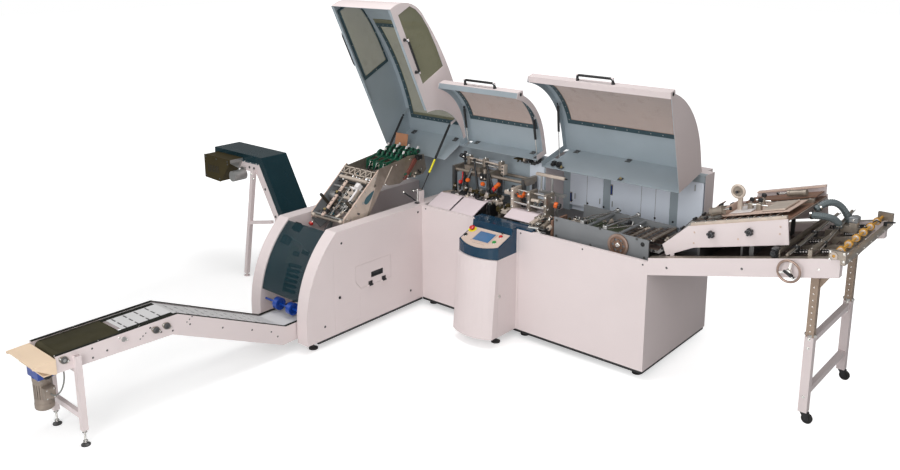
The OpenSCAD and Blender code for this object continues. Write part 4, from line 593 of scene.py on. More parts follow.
class Kit:
    """One piece: grids of points as quads of one mesh, with calls for the usual machine parts.

    Points are mapped by lay where it is given. f, g and h choose among the piece's finishes.
    """

    def __init__(self, name, finishes, body="main_unit", lay=None, bevel=0.0006, smooth=True):
        self.name, self.body, self.finishes = name, body, finishes.split()
        self.lay, self.bevel, self.smooth = lay, bevel, smooth
        self.verts, self.faces, self.index, self.count = [], [], [], 0
        KITS.append(self)

    def grid(self, points, f=0, loop=False, caps=False):
        """Quads between the closed rings of an (m, n, 3) grid, joined end to start or shut with flat caps."""
        p = np.asarray(self.lay(points) if self.lay else points, float)
        m, n = p.shape[:2]
        ids = np.arange(m * n).reshape(m, n) + self.count
        rows = np.append(ids, ids[:1], 0) if loop else ids
        rows = np.append(rows, rows[:, :1], 1)
        quads = np.stack([rows[:-1, :-1], rows[:-1, 1:], rows[1:, 1:], rows[1:, :-1]], -1).reshape(-1, 4)
        self.faces += quads.tolist()
        self.index += [f] * len(quads)
        if caps:
            self.faces += [ids[0, ::-1].tolist(), ids[-1].tolist()]
            self.index += [f] * 2
        self.verts.append(p.reshape(-1, 3))
        self.count += m * n

    def make(self):
        """Makes the object and lets it ride on its body. A cover's pieces are given in its closed pose."""
        v = np.concatenate(self.verts)
        if self.body in COVERS:
            v = swing(v, self.body)
        mesh = bpy.data.meshes.new(self.name)
        mesh.from_pydata((v + DATUM).tolist(), [], self.faces)
        for key in self.finishes:
            mesh.materials.append(MATS[key])
        mesh.polygons.foreach_set("material_index", np.array(self.index, np.int32))
        mesh.update()
        o = bpy.data.objects.new(self.name, mesh)
        bpy.context.scene.collection.objects.link(o)
        outward(mesh)
        if self.smooth:
            shade(o)
        if self.bevel:
            b = o.modifiers.new("Edge", "BEVEL")
            b.width, b.segments, b.limit_method, b.angle_limit = self.bevel, 2, "ANGLE", radians(35)
        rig.ride(o, self.body)

    def turned(self, at, d, profile, f=0, n=24):
        """Solid of revolution: radius r over the distance s along d, for the profile's pairs (s, r)."""
        ends = (profile[0][0], POLE), (profile[-1][0], POLE)
        self.grid(lathe(at, d, [ends[0], *profile, ends[1]], n), f)

    def ring(self, at, d, profile, f=0, n=24):
        """Ring of revolution whose closed section is the profile's pairs (s, r)."""
        self.grid(lathe(at, d, profile, n), f, loop=True)

    def rivet(self, at, d, r, h, f=0, n=10):
        """Rivet head: quarter of an ellipse from the rim to the crown."""
        self.grid(lathe(at, d, dome_profile(r, h), n), f)

    def screw(self, at, d, r, h, f=0, n=16):
        """Round head on its washer, with a domed end."""
        self.grid(lathe(at, d, bolt_profile(r, h), n), f)

    def box(self, a, b, f=0, r=0.003):
        """Block with rounded uprights."""
        self.grid(slab(a, b, r), f, caps=True)

    def bar(self, a, b, r, f=0, n=16):
        """Round bar with chamfered ends: radius r(s) over the distance s between two points."""
        a, b, l = span(a, b)
        c = min(0.3 * r, 0.2 * l)
        self.turned(a, b - a, [(0, r - c), (c, r), (l - c, r), (l, r - c)], f, n)

    def bolt(self, at, d, f=0, r=0.006, h=0.005):
        """Hexagon head on its washer."""
        self.grid(lathe(at, d, [(0, 1.6 * r), (0.2 * h, 1.6 * r), (0.2 * h, POLE)], 16), f)
        d = np.array(d, float) / np.linalg.norm(d)
        self.grid(lathe(np.array(at) + 0.2 * h * d, d, [(0, 1.1 * r), (0.75 * h, 1.1 * r), (h, 0.9 * r), (h,
            POLE)], 6), f)

    def knob(self, at, d, r, h, f=0, flutes=6, stem=0.0, g=0):
        """Fluted knob: radius r (1 - 0.12 cos^2(k t / 2)) round the axis, on a stem."""
        d, u, v = frame_at(d)
        at = np.array(at, float)
        if stem:
            self.bar(at, at + stem * d, 0.35 * r, g, 12)
        t = turn(8 * flutes)
        ripple = 1 - 0.12 * np.cos(flutes * t / 2) ** 2
        rows = []
        for s, k in ((0, 0.6), (0, 0.92), (0.15, 1.0), (0.8, 1.0), (1.0, 0.86), (1.0, 0.3), (0.92, 1e-4)):
            rr = r * k * (ripple if k > 0.8 else 1)
            rows.append(at + (stem + s * h) * d + np.outer(rr * np.cos(t), u) + np.outer(rr * np.sin(t), v))
        self.grid(np.stack(rows), f)

    def roller(self, a, b, r, f=0, g=0):
        """Roller on thin journals, with a groove near each end."""
        a, b, l = span(a, b)
        e = 0.06 * l
        self.turned(a, b - a, [(e, r - 0.001), (e + 0.001, r), (2 * e, r), (2 * e, 0.9 * r), (2.3 * e, 0.9 * r),
            (2.3 * e, r), (l - 2.3 * e, r), (l - 2.3 * e, 0.9 * r), (l - 2 * e, 0.9 * r), (l - 2 * e, r),
            (l - e - 0.001, r), (l - e, r - 0.001)], f)
        self.bar(a, b, 0.4 * r, g, 12)

    def coil(self, a, b, r, wire, turns, f=0):
        """Helical spring: point at angle 2 pi turns s on radius r, s running from one end to the other."""
        a, b, _ = span(a, b)
        _, u, v = frame_at(b - a)
        s = np.linspace(0, 1, 14 * turns)[:, None]
        t = 2 * pi * turns * s
        self.grid(tube(a + (b - a) * s + r * (np.cos(t) * u + np.sin(t) * v), wire, 6), f, caps=True)

    def ram(self, a, b, r, f=0, g=0, h=0):
        """Air cylinder: barrel between square-shouldered end caps, with its rod and clevis."""
        a, b, l = span(a, b)
        m, e = 0.62 * l, 0.09 * l
        self.grid(lathe(a, b - a, [(0, POLE), (0, 1.12 * r), (e, 1.12 * r), (e, r), (m - e, r), (m - e, 1.12 * r),
            (m, 1.12 * r), (m, 0.5 * r), (m + 0.3 * e, POLE)], 20), f)
        self.bar(a + (b - a) * m / l, b, 0.28 * r, g, 12)
        self.knob(a + (b - a) * 0.93, b - a, 0.5 * r, 0.07 * l, h, 4)

    def plate(self, outline, x0, x1, f=0, axis=0):
        """Flat plate of a closed outline."""
        self.grid(prism(outline, x0, x1, axis), f, caps=True)

    def strip(self, path, section, axis=0):
        """Closed section of (across, up) pairs carried along a path of pairs that stands square to the axis."""
        rings = [np.insert(np.stack([path[:, 0], path[:, 1] + up], 1), axis, across, 1) for across, up in section]
        self.grid(np.stack(rings, 1), caps=True)

    def hoop(self, at, r, wire, n, m, f=0):
        """Torus about the y direction: n circles of m points round a circle of radius r."""
        t, b = turn(n), turn(m)[None, :, None]
        e = np.stack([np.cos(t), 0 * t, np.sin(t)], 1)
        self.grid(at + r * e[:, None] + wire * (np.cos(b) * e[:, None] + np.sin(b) * np.array(BACK)), f,
            loop=True)

    def pillow(self, at, f=0, g=0, s=1.0):
        """Bearing block: rounded housing on a foot with two bolts."""
        x, y, z = at
        self.box((x - 0.026 * s, y - 0.009 * s, z), (x + 0.026 * s, y + 0.009 * s, z + 0.008 * s), f, 0.003 * s)
        self.turned((x, y - 0.01 * s, z + 0.02 * s), BACK, [(0, 0.013 * s), (0.002 * s, 0.015 * s),
            (0.018 * s, 0.015 * s), (0.02 * s, 0.013 * s)], f, 20)
        for k in (-1, 1):
            self.bolt((x + 0.019 * s * k, y, z + 0.008 * s), UP, g, 0.0038 * s, 0.004 * s)

    def hose(self, points, r, f=0, n=20):
        """Thin line along a cubic curve."""
        self.grid(tube(bezier(points, n), r, 8), f, caps=True)

    def fittings(self, lo, hi, n, seed, kinds=6, size=0.02):
        """Small fittings spread evenly over a rectangle, their kind, size and finish picked by a seeded draw."""
        rng = np.random.default_rng(seed)
        count = len(self.finishes)
        for k in range(n):
            x = lo[0] + (hi[0] - lo[0]) * ((k + 0.5) / n)
            y = lo[1] + (hi[1] - lo[1]) * ((k * 0.618 + 0.3) % 1.0)
            s, f, g, z = size * rng.uniform(0.6, 1.3), int(rng.integers(count)), int(rng.integers(count)), lo[2]
            kind = int(rng.integers(kinds))
            if kind == 0:
                self.box((x - s, y - 0.6 * s, z), (x + s, y + 0.6 * s, z + 1.2 * s), f)
                self.bolt((x, y, z + 1.2 * s), UP, g, 0.25 * s, 0.2 * s)
            elif kind == 1:
                self.pillow((x, y, z), f, g, s / 0.022)
            elif kind == 2:
                self.ram((x - s, y - 1.5 * s, z + 0.7 * s), (x + s, y + 2.2 * s, z + 0.9 * s), 0.5 * s, f, g, g)
            elif kind == 3:
                self.bar((x, y, z), (x, y, z + 1.4 * s), 0.35 * s, g)
                self.knob((x, y, z + 1.4 * s), UP, 0.7 * s, 0.8 * s, f)
            elif kind == 4:
                self.bar((x - 0.8 * s, y, z + 0.8 * s), (x + 1.2 * s, y, z + 0.8 * s), 0.22 * s, g)
                self.coil((x - 0.7 * s, y, z + 0.8 * s), (x + 1.0 * s, y, z + 0.8 * s), 0.42 * s, 0.09 * s, 6, f)
            else:
                self.plate([(y - s, z), (y + s, z), (y + 0.8 * s, z + 1.3 * s), (y, z + 1.9 * s),
                    (y - 0.5 * s, z + 0.9 * s)], x - 0.12 * s, x + 0.12 * s, f)
                self.bar((x - 0.5 * s, y, z + 0.9 * s), (x + 0.5 * s, y, z + 0.9 * s), 0.3 * s, g)


def on_slope(p):
    """Lays (x, u, h) points in the folding mechanism's sloping plane."""
    a = radians(40)
    x, u, h = np.moveaxis(np.asarray(p, float), -1, 0)
    return np.stack([x, -0.76 + u * cos(a) - h * sin(a), 0.9 + u * sin(a) + h * cos(a)], -1)


def on_fascia(x, y, h=0.0):
    """Point h above the console's sloping face."""
    z = 0.905 + (y + 0.07) * tan(FASCIA)
    return np.array([x, y - h * sin(FASCIA), z + h * cos(FASCIA)])


# --- operators
class BINDER_OT_finishes(Operator):
    """Build the finishes and put them on the frame's parts"""
    bl_idname = "binder.finishes"
    bl_label = "Finishes"

    def execute(self, context):
        all_finishes()
        for name in frame["nodes"]:
            shade(frame["nodes"][name], 35)
        # node, then finish and test of its faces by centre x, y, z and normal n
        rules = {
            "base_frame": [("foot_pad", lambda x, y, z, n: z < 0.021)],
            # the rear wall's door faces take the pale door finish, which is partly painted light
            "rear_frame": [("rear_panel", lambda x, y, z, n: (y > 0.93) & (n[:, 1] < -0.5) & (z > 0.9)),
                ("plate_grey", lambda x, y, z, n: (y < 0.57) & (x > -0.93) & (z > 0.88)),
                ("casing_white", lambda x, y, z, n: (n[:, 1] > 0.5) & (y > 0.6))],
            "machine_bed": [("sheet_white", lambda x, y, z, n: z > 0.935)],
            "binding_station": [("cream_metal", lambda x, y, z, n: (z > 1.155) & (x > -1.3)),
                ("steel_warm", lambda x, y, z, n: z > 1.15),
                ("steel", lambda x, y, z, n: x > -1.3)],
            "hatch_door": [("black_metal", lambda x, y, z, n: x > X_LEFT + 0.0005),
                ("slot_dark", lambda x, y, z, n: (x < X_LEFT - 0.0005) & (y > -0.6505) & (y < -0.5055)
                    & (z > 0.4495) & (z < 0.5005))],
            "gearmotor": [("motor_grey", lambda x, y, z, n: z < 0.492)],
            "waste_conveyor": [("olive", lambda x, y, z, n: (y < -0.601) & (z > 0.95) & (x < FOLD_X - 1.0)),
                ("steel", lambda x, y, z, n: (y < -0.601) & (z > 0.95) & (abs(x - FOLD_X + 1.068) < 0.06))],
            "feeder_frame": [("post_brown", lambda x, y, z, n: (abs(x - 1.13) < 0.0275) & (z > 0.642)
                    & ((abs(y - 0.197) < 0.031) | (abs(y - 1.018) < 0.031))),
                ("post_brown", lambda x, y, z, n: (x > 1.15) & (z > 0.72) & (z < 1.115)
                    & (abs(n[:, 1]) > 0.9) & (y > 0.1) & (y < 1.03)),
                ("steel_warm", lambda x, y, z, n: (n[:, 2] > 0.9) & (z > 0.9))],
            "feeder_box": [("cream_metal", lambda x, y, z, n: (y > 0.112) & (y < 0.889) & (z > 1.12)),
                ("cream_pink", lambda x, y, z, n: (y > 0.9) | (n[:, 2] > 0.9) & (y > 0.09)),
                ("steel_dark", lambda x, y, z, n: (z < beam_z(x) + 0.05) & ((abs(x - 0.337) < 0.008)
                    | (abs(x - 0.647) < 0.008) | (abs(x - 0.719) < 0.016)))],
            "feeder_deck": [("ramp_brown", lambda x, y, z, n: (abs(n[:, 2]) > 0.9) & (z < 1.26) & (x > 0)
                    & (x < 1.24)),
                ("steel_warm", lambda x, y, z, n: x > 0.88)],
            "folder_frame": [("plate_grey", lambda x, y, z, n: (x < -2.8) & (y < -0.3)),
                ("cream_metal", lambda x, y, z, n: (x > -2.47) & (y < -0.3)),
                ("wheel_green", lambda x, y, z, n: (y > -0.06) & (y < 0.205) & (z > 1.32) & (x < -2.462)
                    & (x > -2.808)),
                ("steel_warm", lambda x, y, z, n: y > -0.43)],
            "conveyor_frame": [("slotted", lambda x, y, z, n: (abs(x + 2.555) < 0.165) & (y > -2.82)),
                ("cream", lambda x, y, z, n: y < -3.304),
                ("steel_dark", lambda x, y, z, n: (z < 0.022))],
        }
        for name in COVERS:
            rules[name] = [("lining_blue", inner_side(name))]
        for name in NODE_FINISH:
            repaint(name, *rules.get(name, []))
        return {"FINISHED"}


class BINDER_OT_stage(Operator):
    """Make the camera, the floor and the soft studio light"""
    bl_idname = "binder.stage"
    bl_label = "Studio stage"

    def execute(self, context):
        scene = context.scene
        cam = bpy.data.cameras.new("Camera")
        o = bpy.data.objects.new("Camera", cam)
        scene.collection.objects.link(o)
        o.location = Vector(CAMERA_AT) + Vector(DATUM)
        o.rotation_euler = (pi / 2 - CAMERA_TILT, 0.0, CAMERA_TURN)
        cam.sensor_width, cam.lens = 36.0, LENS
        cam.shift_x, cam.shift_y = 0.0, -0.1
        cam.clip_end = 60
        scene.camera = o
        scene.view_settings.view_transform = "Standard"
        world = bpy.data.worlds.new("Studio")
        scene.world = world
        world.use_nodes = True
        t = world.node_tree
        back = t.nodes["Background"]
        back.inputs["Color"].default_value = (1, 1, 1, 1)
        path = t.nodes.new("ShaderNodeLightPath")
        seen = maths(t, "ADD", path.outputs["Is Camera Ray"], path.outputs["Is Transmission Ray"], True)
        t.links.new(ramp(t, seen, 0.0, 1.0, WORLD_LIGHT, 1.0), back.inputs["Strength"])
        floor = bpy.data.meshes.new("floor")
        s = FLOOR_HALF
        floor.from_pydata([(-s, -s, 0), (s, -s, 0), (s, s, 0), (-s, s, 0)], [], [(0, 1, 2, 3)])
        f = bpy.data.objects.new("floor", floor)
        scene.collection.objects.link(f)
        m = bpy.data.materials.new("floor")
        m.use_nodes = True
        t = m.node_tree
        b = t.nodes["Principled BSDF"]
        b.inputs["Base Color"].default_value = (0.78, 0.78, 0.78, 1)
        b.inputs["Roughness"].default_value = 0.35
        b.inputs["Emission Color"].default_value = (1, 1, 1, 1)
        # the far floor glows white to the camera; near the machine its own shadow shows
        path = t.nodes.new("ShaderNodeLightPath")
        place = node(t, "ShaderNodeTexCoord").outputs["Object"]
        away = node(t, "ShaderNodeVectorMath", [(0, place)], operation="DISTANCE")
        away.inputs[1].default_value = SHADOW_AT
        glow = maths(t, "MULTIPLY", path.outputs["Is Camera Ray"], ramp(t, away.outputs["Value"], 2.2, 4.5, 0.44))
        t.links.new(glow, b.inputs["Emission Strength"])
        floor.materials.append(m)
        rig.stage(f)
        for name, at, size, power in LAMPS:
            light = bpy.data.lights.new(name, "AREA")
            light.energy, light.size = power, size
            lo = bpy.data.objects.new(name, light)
            lo.location = at
            lo.rotation_euler = (Vector(AIM) - lo.location).to_track_quat("-Z", "Y").to_euler()
            scene.collection.objects.link(lo)
        return {"FINISHED"}


# --- covers
def arc_centre(name):
    """Centre of a cover's arc from its hinge line, in the closed pose."""
    return (-0.65, -2.512) if name == "left_cover" else (-0.2, -COVERS[name][4])


def arc_band(name, radius, a0, a1, x0, x1, t, n=20):
    """Closed band of thickness t on a cover's inner face: ring of four corners carried along the arc."""
    cy, cz = arc_centre(name)
    a = np.radians(np.linspace(a0, a1, n))
    ring = [(x0, radius), (x1, radius), (x1, radius - t), (x0, radius - t)]
    return np.stack([np.stack([np.full(n, x), cy + r * np.cos(a), cz + r * np.sin(a)], 1) for x, r in ring], 1)


def arc_point(name, radius, a, x):
    """Point of a cover's inner face at the angle a, and the direction into the cover there."""
    cy, cz = arc_centre(name)
    d = np.array([0, cos(radians(a)), sin(radians(a))])
    return np.array([x, cy, cz]) + radius * d, -d


class BINDER_OT_windows(Operator):
    """Dark riveted strips round the cover windows, and the covers' small fittings"""
    bl_idname = "binder.windows"
    bl_label = "Window strips"

    def execute(self, context):
        s = context.scene.binder_sizes
        w, rivet = s.strip, s.rivet
        inset = 0.095
        for name, lo, hi in (("right_cover", 99.0, 144.5), ("middle_cover", 98.3, 136.7), ("left_cover", 79.6,
                101.4)):
            x0, x1, r = COVERS[name][2] + inset, COVERS[name][3] - inset, COVERS[name][4] - 0.0072
            step = degrees(w / r)
            p = Kit(name + "-strips", "strip_dark steel", bevel=0, body=name)
            for xa, xb in ((x0 - w, x0), (x1, x1 + w)):
                p.grid(arc_band(name, r, lo - step, hi + step, xa, xb, 0.0022), caps=True)
            for a in (lo - step, hi):
                p.grid(arc_band(name, r - 0.0003, a, a + step, x0, x1, 0.0022, 5), caps=True)
            for a in np.linspace(lo, hi, 9 if name != "left_cover" else 12):
                for x in (x0 - w / 2, x1 + w / 2):
                    at, d = arc_point(name, r - 0.0022, a, x)
                    p.rivet(at, d, rivet, 0.003, 1)
            for a in (lo - step / 2, hi + step / 2):
                for x in np.linspace(x0, x1, 11)[1:-1]:
                    at, d = arc_point(name, r - 0.0025, a, x)
                    p.rivet(at, d, rivet, 0.003, 1)
        # round plugs in the ends of the front flanges
        for name in ("right_cover", "middle_cover"):
            _, _, x0, x1, r, end = COVERS[name]
            y, z = -0.2 + r * cos(radians(end)), -r + r * sin(radians(end))
            p = Kit(name + "-plugs", "black_plastic", bevel=0.001, body=name)
            for x, k in ((x0, -1), (x1, 1)):
                p.screw((x, y + 0.026, z + 0.036), (k, 0, 0), 0.01, 0.004)
        # black bow handles over the painted ones of the frame
        for name, x in (("right_cover", -0.69), ("middle_cover", -1.755)):
            _, _, _, _, r, end = COVERS[name]
            y, z = -0.2 + r * cos(radians(end)) + 0.001, -r + r * sin(radians(end)) + 0.035
            self.handle(name, (x, y, z), RIGHT, FRONT, 0.32)
        for k, x in ((-1, FOLD_X), (1, X_LEFT)):
            self.handle("left_cover", (x, -1.1, -0.3), BACK, (k, 0, 0), 0.32)
        # dark frames round the windows in the left cover's ends
        outline = np.array([(-0.8, -0.27), (-0.8, 0.028), (-1.0, 0.025), (-1.2, 0.006), (-1.33, -0.022),
            (-1.42, -0.062), (-1.48, -0.115), (-1.48, -0.27)])
        centre = outline.mean(0)
        p = Kit("left_cover-end-frames", "strip_dark steel", smooth=False, bevel=0, body="left_cover")
        for x, k in ((FOLD_X + 0.0072, 1), (X_LEFT - 0.0072, -1)):
            big = centre + (outline - centre) * [1.075, 1.15]
            ring = [prism(q, x, x, 0)[0] for q in (outline, big)]
            rows = [ring[0], ring[1], ring[1] + [0.002 * k, 0, 0], ring[0] + [0.002 * k, 0, 0]]
            p.grid(np.stack(rows), loop=True)
            for a, b in zip(outline, np.roll(outline, -1, 0)):
                m = centre + ((a + b) / 2 - centre) * [1.04, 1.07]
                p.rivet((x + 0.002 * k, m[0], m[1]), (k, 0, 0), rivet, 0.003, 1)
        # hinge leaves inside the covers and the catches on their lower edges
        for name, xs in (("right_cover", (-1.18, -0.67, -0.16)), ("middle_cover", (-2.08, -1.45)),
                ("left_cover", (-2.87, -2.34))):
            p = Kit(name + "-hinge-leaves", "steel_dark steel", body=name)
            for x in xs:
                p.box((x - 0.024, -0.0185, -0.062), (x + 0.024, -0.015, -0.006))
                for dx in (-0.014, 0.014):
                    p.rivet((x + dx, -0.0185, -0.045), FRONT, 0.004, 0.003, 1)
        p = Kit("cover-catches", "steel_dark brass", bevel=0.0008, body="right_cover")
        for x in (-0.56, -1.13):
            p.box((x - 0.02, -0.024, -0.385), (x + 0.02, -0.0155, -0.34), 0, 0.004)
            p.screw((x, -0.024, -0.36), FRONT, 0.007, 0.012, 1)
        return make_kits()

    def handle(self, name, at, along, out, w):
        """Black moulded grip over the bar: a rounded path from foot to foot with flared feet."""
        at, u, v = np.array(at, float), np.array(along, float), np.array(out, float)
        t = np.linspace(0, pi / 2, 7)
        r = 0.02
        left = np.stack([-w / 2 + r - r * np.cos(t), 0.045 - r + r * np.sin(t)], 1)
        path = np.concatenate([[(-w / 2, 0.0005), (-w / 2, 0.01)], left, (left * [-1, 1])[::-1],
            [(w / 2, 0.01), (w / 2, 0.0005)]])
        radius = np.full(len(path), 0.0108)
        radius[[0, -1]] = 0.016
        radius[[1, -2]] = 0.0125
        p = Kit(f"{name}-grip-{'a' if out[0] <= 0 and out[1] <= 0 else 'b'}", "black_plastic", bevel=0, body=name)
        p.grid(tube([at + a * u + b * v for a, b in path], radius, 12), caps=True)


# --- console
class BINDER_OT_console(Operator):
    """Screen, bezels, collars and lock of the console"""
    bl_idname = "binder.console"
    bl_label = "Console fittings"

    def execute(self, context):
        tilt = Matrix.Rotation(FASCIA, 3, "X")

        def lay(points, x, y, h):
            """Points of a flat piece laid on the sloping face."""
            base = on_fascia(x, y, h)
            return base + np.asarray(points) @ np.array(tilt).T

        mid = (CON_L + CON_R) / 2
        p = Kit("console-screen", "screen black_plastic", bevel=0.0008)
        p.grid(lay(slab((-0.08, -0.06, 0), (0.08, 0.06, 0.0024), 0.004), mid, -0.168, 0.0064), caps=True)
        # bezel rings of the buttons
        p = Kit("button-rings", "chrome label_yellow black_plastic", bevel=0)
        up = (0, -sin(FASCIA), cos(FASCIA))
        for x, y, r in ((CON_L + 0.03, -0.197, 0.019), (CON_R - 0.078, -0.199, 0.019), (CON_R - 0.073, -0.118,
                0.019)):
            p.ring(on_fascia(x, y, 0.0042), up, [(0, r), (0.004, r), (0.0055, r - 0.0012), (0.0055, 0.0166),
                (0, 0.0166)], n=28)
        r = 0.0362
        p.ring(on_fascia(CON_L + 0.038, -0.115, 0.0072), up, [(0, r), (0.002, r), (0.003, r - 0.003),
            (0.003, 0.0135), (0, 0.0135)], 1, 36)
        p.grid(lathe(on_fascia(CON_R - 0.084, -0.08, 0.009), up, [(0, 0.0085), (0.006, 0.0085), (0.008, 0.007),
            (0.008, 0.001)], 20), 2)
        # lower line of slots below the screen
        p = Kit("console-slots", "black_plastic", bevel=0)
        for k in range(9):
            p.grid(lay(slab((-0.0055, -0.0016, 0), (0.0055, 0.0016, 0.0006), 0.001), mid - 0.056 + 0.014 * k,
                -0.252, 0.0022), caps=True)
        # lock on the right side
        p = Kit("console-lock", "steel_dark chrome", bevel=0.0005)
        p.screw((CON_R, -0.225, 0.43), RIGHT, 0.011, 0.008, 1, 20)
        p.box((CON_R + 0.008, -0.2265, 0.424), (CON_R + 0.0086, -0.2235, 0.436), 0, 0.0003)
        # dark reveal between door and head
        p = Kit("console-reveal", "rubber", bevel=0)
        p.box((CON_L + 0.004, -0.246, 0.7445), (CON_R - 0.004, -0.004, 0.7465), 0, 0.0006)
        return make_kits()


# --- folding unit
class BINDER_OT_folder(Operator):
    """Bars, clamps, springs and knobs of the folding mechanism"""
    bl_idname = "binder.folder"
    bl_label = "Folding mechanism"

    def execute(self, context):
        far, near = -2.804, -2.418
        p = Kit("folder-bars", "steel_warm chrome cream_metal black_metal", lay=on_slope)
        p.bar((far, -0.01, 0.055), (near, -0.01, 0.055), 0.012)
        for x in (far + 0.02, near - 0.022):
            p.pillow((x, -0.01, 0.036), 2, 1, 1.3)
        p.roller((far, 0.42, 0.066), (near, 0.42, 0.066), 0.017, 2, 1)
        p.roller((far, 0.388, 0.05), (near, 0.388, 0.05), 0.012, 3, 1)
        for x, u0, u1, h, r, f in ((-2.585, 0.02, 0.34, 0.07, 0.006, 1), (-2.505, 0.06, 0.36, 0.06, 0.005, 1),
                (-2.712, 0.03, 0.37, 0.02, 0.009, 0), (-2.472, 0.02, 0.36, 0.02, 0.009, 2)):
            p.bar((x, u0, h), (x, u1, h), r, f)
        for k in range(5):
            p.bar((-2.712, 0.06 + 0.072 * k, 0.012), (-2.472, 0.06 + 0.072 * k, 0.012), 0.007, k % 2 * 3)
        # long clamping bar with its stops
        p = Kit("folder-long-bar", "cream_pink steel_dark brass black_metal", lay=on_slope)
        p.box((-2.655, -0.012, 0.086), (-2.628, 0.372, 0.102), 0, 0.002)
        for k in range(9):
            p.bolt((-2.6415, 0.02 + 0.042 * k, 0.102), UP, 1, 0.0045, 0.004)
        for u in (0.045, 0.235):
            p.box((-2.668, u - 0.016, 0.07), (-2.615, u + 0.016, 0.11), 3, 0.004)
            p.knob((-2.6415, u, 0.11), UP, 0.011, 0.013, 2, 5)
        # lattice beam: two chords joined by a zigzag of flat webs
        p = Kit("folder-lattice", "cream_metal steel_dark", lay=on_slope)
        for u in (0.458, 0.524):
            p.box((far, u - 0.005, 0.074), (near, u + 0.005, 0.082), 0, 0.001)
        n = 11
        xs = np.linspace(far + 0.006, near - 0.006, n + 1)
        for k in range(n):
            u0, u1 = (0.46, 0.522) if k % 2 else (0.522, 0.46)
            d = np.array([xs[k + 1] - xs[k], u1 - u0])
            w = 0.0042 * np.array([-d[1], d[0]]) / np.linalg.norm(d)
            a, b = np.array([xs[k], u0]), np.array([xs[k + 1], u1])
            p.plate([a + w, b + w, b - w, a - w], 0.076, 0.081, 0, 2)
            p.bolt((*a, 0.082), UP, 1, 0.0032, 0.003)
        # clamping carriage in the middle, springs and stops beside it
        p = Kit("folder-carriage", "cream_metal steel_dark chrome white_part black_metal", lay=on_slope)
        p.box((-2.585, 0.215, 0.04), (-2.47, 0.33, 0.072), 0, 0.004)
        p.plate([(-2.59, 0.335), (-2.478, 0.335), (-2.468, 0.3), (-2.468, 0.2), (-2.49, 0.185), (-2.49, 0.3)],
            0.078, 0.083, 3, 2)
        for x, u in ((-2.555, 0.25), (-2.555, 0.3), (-2.5, 0.245), (-2.5, 0.305)):
            p.knob((x, u, 0.072), UP, 0.0125, 0.016, 4, 8)
            p.bolt((x, u, 0.088), UP, 2, 0.004, 0.003)
        p.box((-2.512, 0.33, 0.05), (-2.467, 0.375, 0.105), 3)
        for k in range(5):
            u = 0.11 + 0.02 * k
            p.bar((-2.545, u, 0.06), (-2.472, u + 0.018, 0.06), 0.0036, 3 if k % 2 else 1)
            p.coil((-2.54, u, 0.06), (-2.5, u + 0.01, 0.06), 0.0062, 0.0012, 9, 2)
            p.bolt((-2.474, u + 0.018, 0.06), (1, 0.25, 0), 2, 0.0042)
        p.ram((-2.7, 0.13, 0.04), (-2.7, 0.33, 0.052), 0.014, 1, 2, 4)
        p.ram((-2.545, 0.03, 0.036), (-2.475, 0.15, 0.05), 0.013, 0, 2, 4)
        p = Kit("folder-fittings", "cream_metal steel_dark chrome steel_warm guard_teal wood_brown", lay=on_slope)
        p.fittings((-2.7, 0.03, 0.02), (-2.485, 0.365, 0.02), 30, 11, size=0.014)
        p.fittings((far + 0.02, 0.44, 0.02), (near - 0.02, 0.52, 0.02), 12, 5, size=0.013)
        # adjusting knobs at the low end
        p = Kit("folder-low-knobs", "knob_red black_plastic chrome", lay=on_slope)
        for x, f, r in ((-2.79, 0, 0.021), (-2.462, 1, 0.02), (-2.424, 0, 0.021)):
            p.knob((x, -0.04, 0.01), (0, -1, 0.2), r, 0.022, f, 6, 0.03, 2)
        # mechanism seen through the throat guard: x, distance up the guard's arc, depth behind it
        def behind(q):
            a = pi - q[..., 1] / 0.905
            r = 0.896 - q[..., 2]
            return np.stack([q[..., 0], -0.44 + r * np.cos(a), 0.231 + r * np.sin(a)], -1)

        p = Kit("throat-works", "black_metal cream_metal steel_warm chrome white_part steel_dark", lay=behind)
        p.box((-2.795, 0.735, 0.01), (-2.725, 0.81, 0.06), 0, 0.004)
        p.box((-2.89 + 0.052, 0.59, 0.01), (-2.77, 0.665, 0.07), 0, 0.004)
        p.box((-2.7, 0.43, 0.03), (-2.6, 0.6, 0.04), 1, 0.012)
        p.box((-2.64, 0.52, 0.018), (-2.56, 0.56, 0.03), 5, 0.006)
        p.bar((-2.73, 0.655, 0.014), (-2.6, 0.635, 0.014), 0.006, 4)
        p.hose([(-2.6, 0.635, 0.014), (-2.56, 0.625, 0.014), (-2.54, 0.59, 0.014), (-2.47, 0.59, 0.014)], 0.007, 4)
        p.box((-2.54, 0.555, 0.012), (-2.48, 0.6, 0.05), 0, 0.004)
        for k in range(6):
            u = 0.215 + 0.044 * k
            p.bar((-2.64, u, 0.03), (-2.49, u + 0.01, 0.03), 0.011)
            p.coil((-2.63, u, 0.028), (-2.5, u + 0.009, 0.028), 0.014, 0.0022, 9, 5)
            p.bar((-2.6, u + 0.016, 0.014), (-2.54, u + 0.018, 0.014), 0.0022, 3)
        p.box((-2.66, 0.19, 0.036), (-2.645, 0.48, 0.06), 2)
        # yellow band on the near rod of the left cover's gas struts
        v = np.empty(3 * len(frame["nodes"]["left_strut_rods"].data.vertices), np.float32)
        frame["nodes"]["left_strut_rods"].data.vertices.foreach_get("co", v)
        v = v.reshape(-1, 3) - DATUM
        v = v[v[:, 0] > -2.45]
        middle = v.mean(0)
        along = np.linalg.svd(v - middle)[2][0]
        along *= np.sign(along[2])
        p = Kit("strut-band", "label_yellow", bevel=0, body="left_strut_rods")
        lo, hi = middle + along * (1.205 - middle[2]) / along[2], middle + along * (1.315 - middle[2]) / along[2]
        p.ring(lo, hi - lo, [(0, 0.0078), (0, 0.0088), (np.linalg.norm(hi - lo), 0.0088), (np.linalg.norm(hi - lo),
            0.0078)])
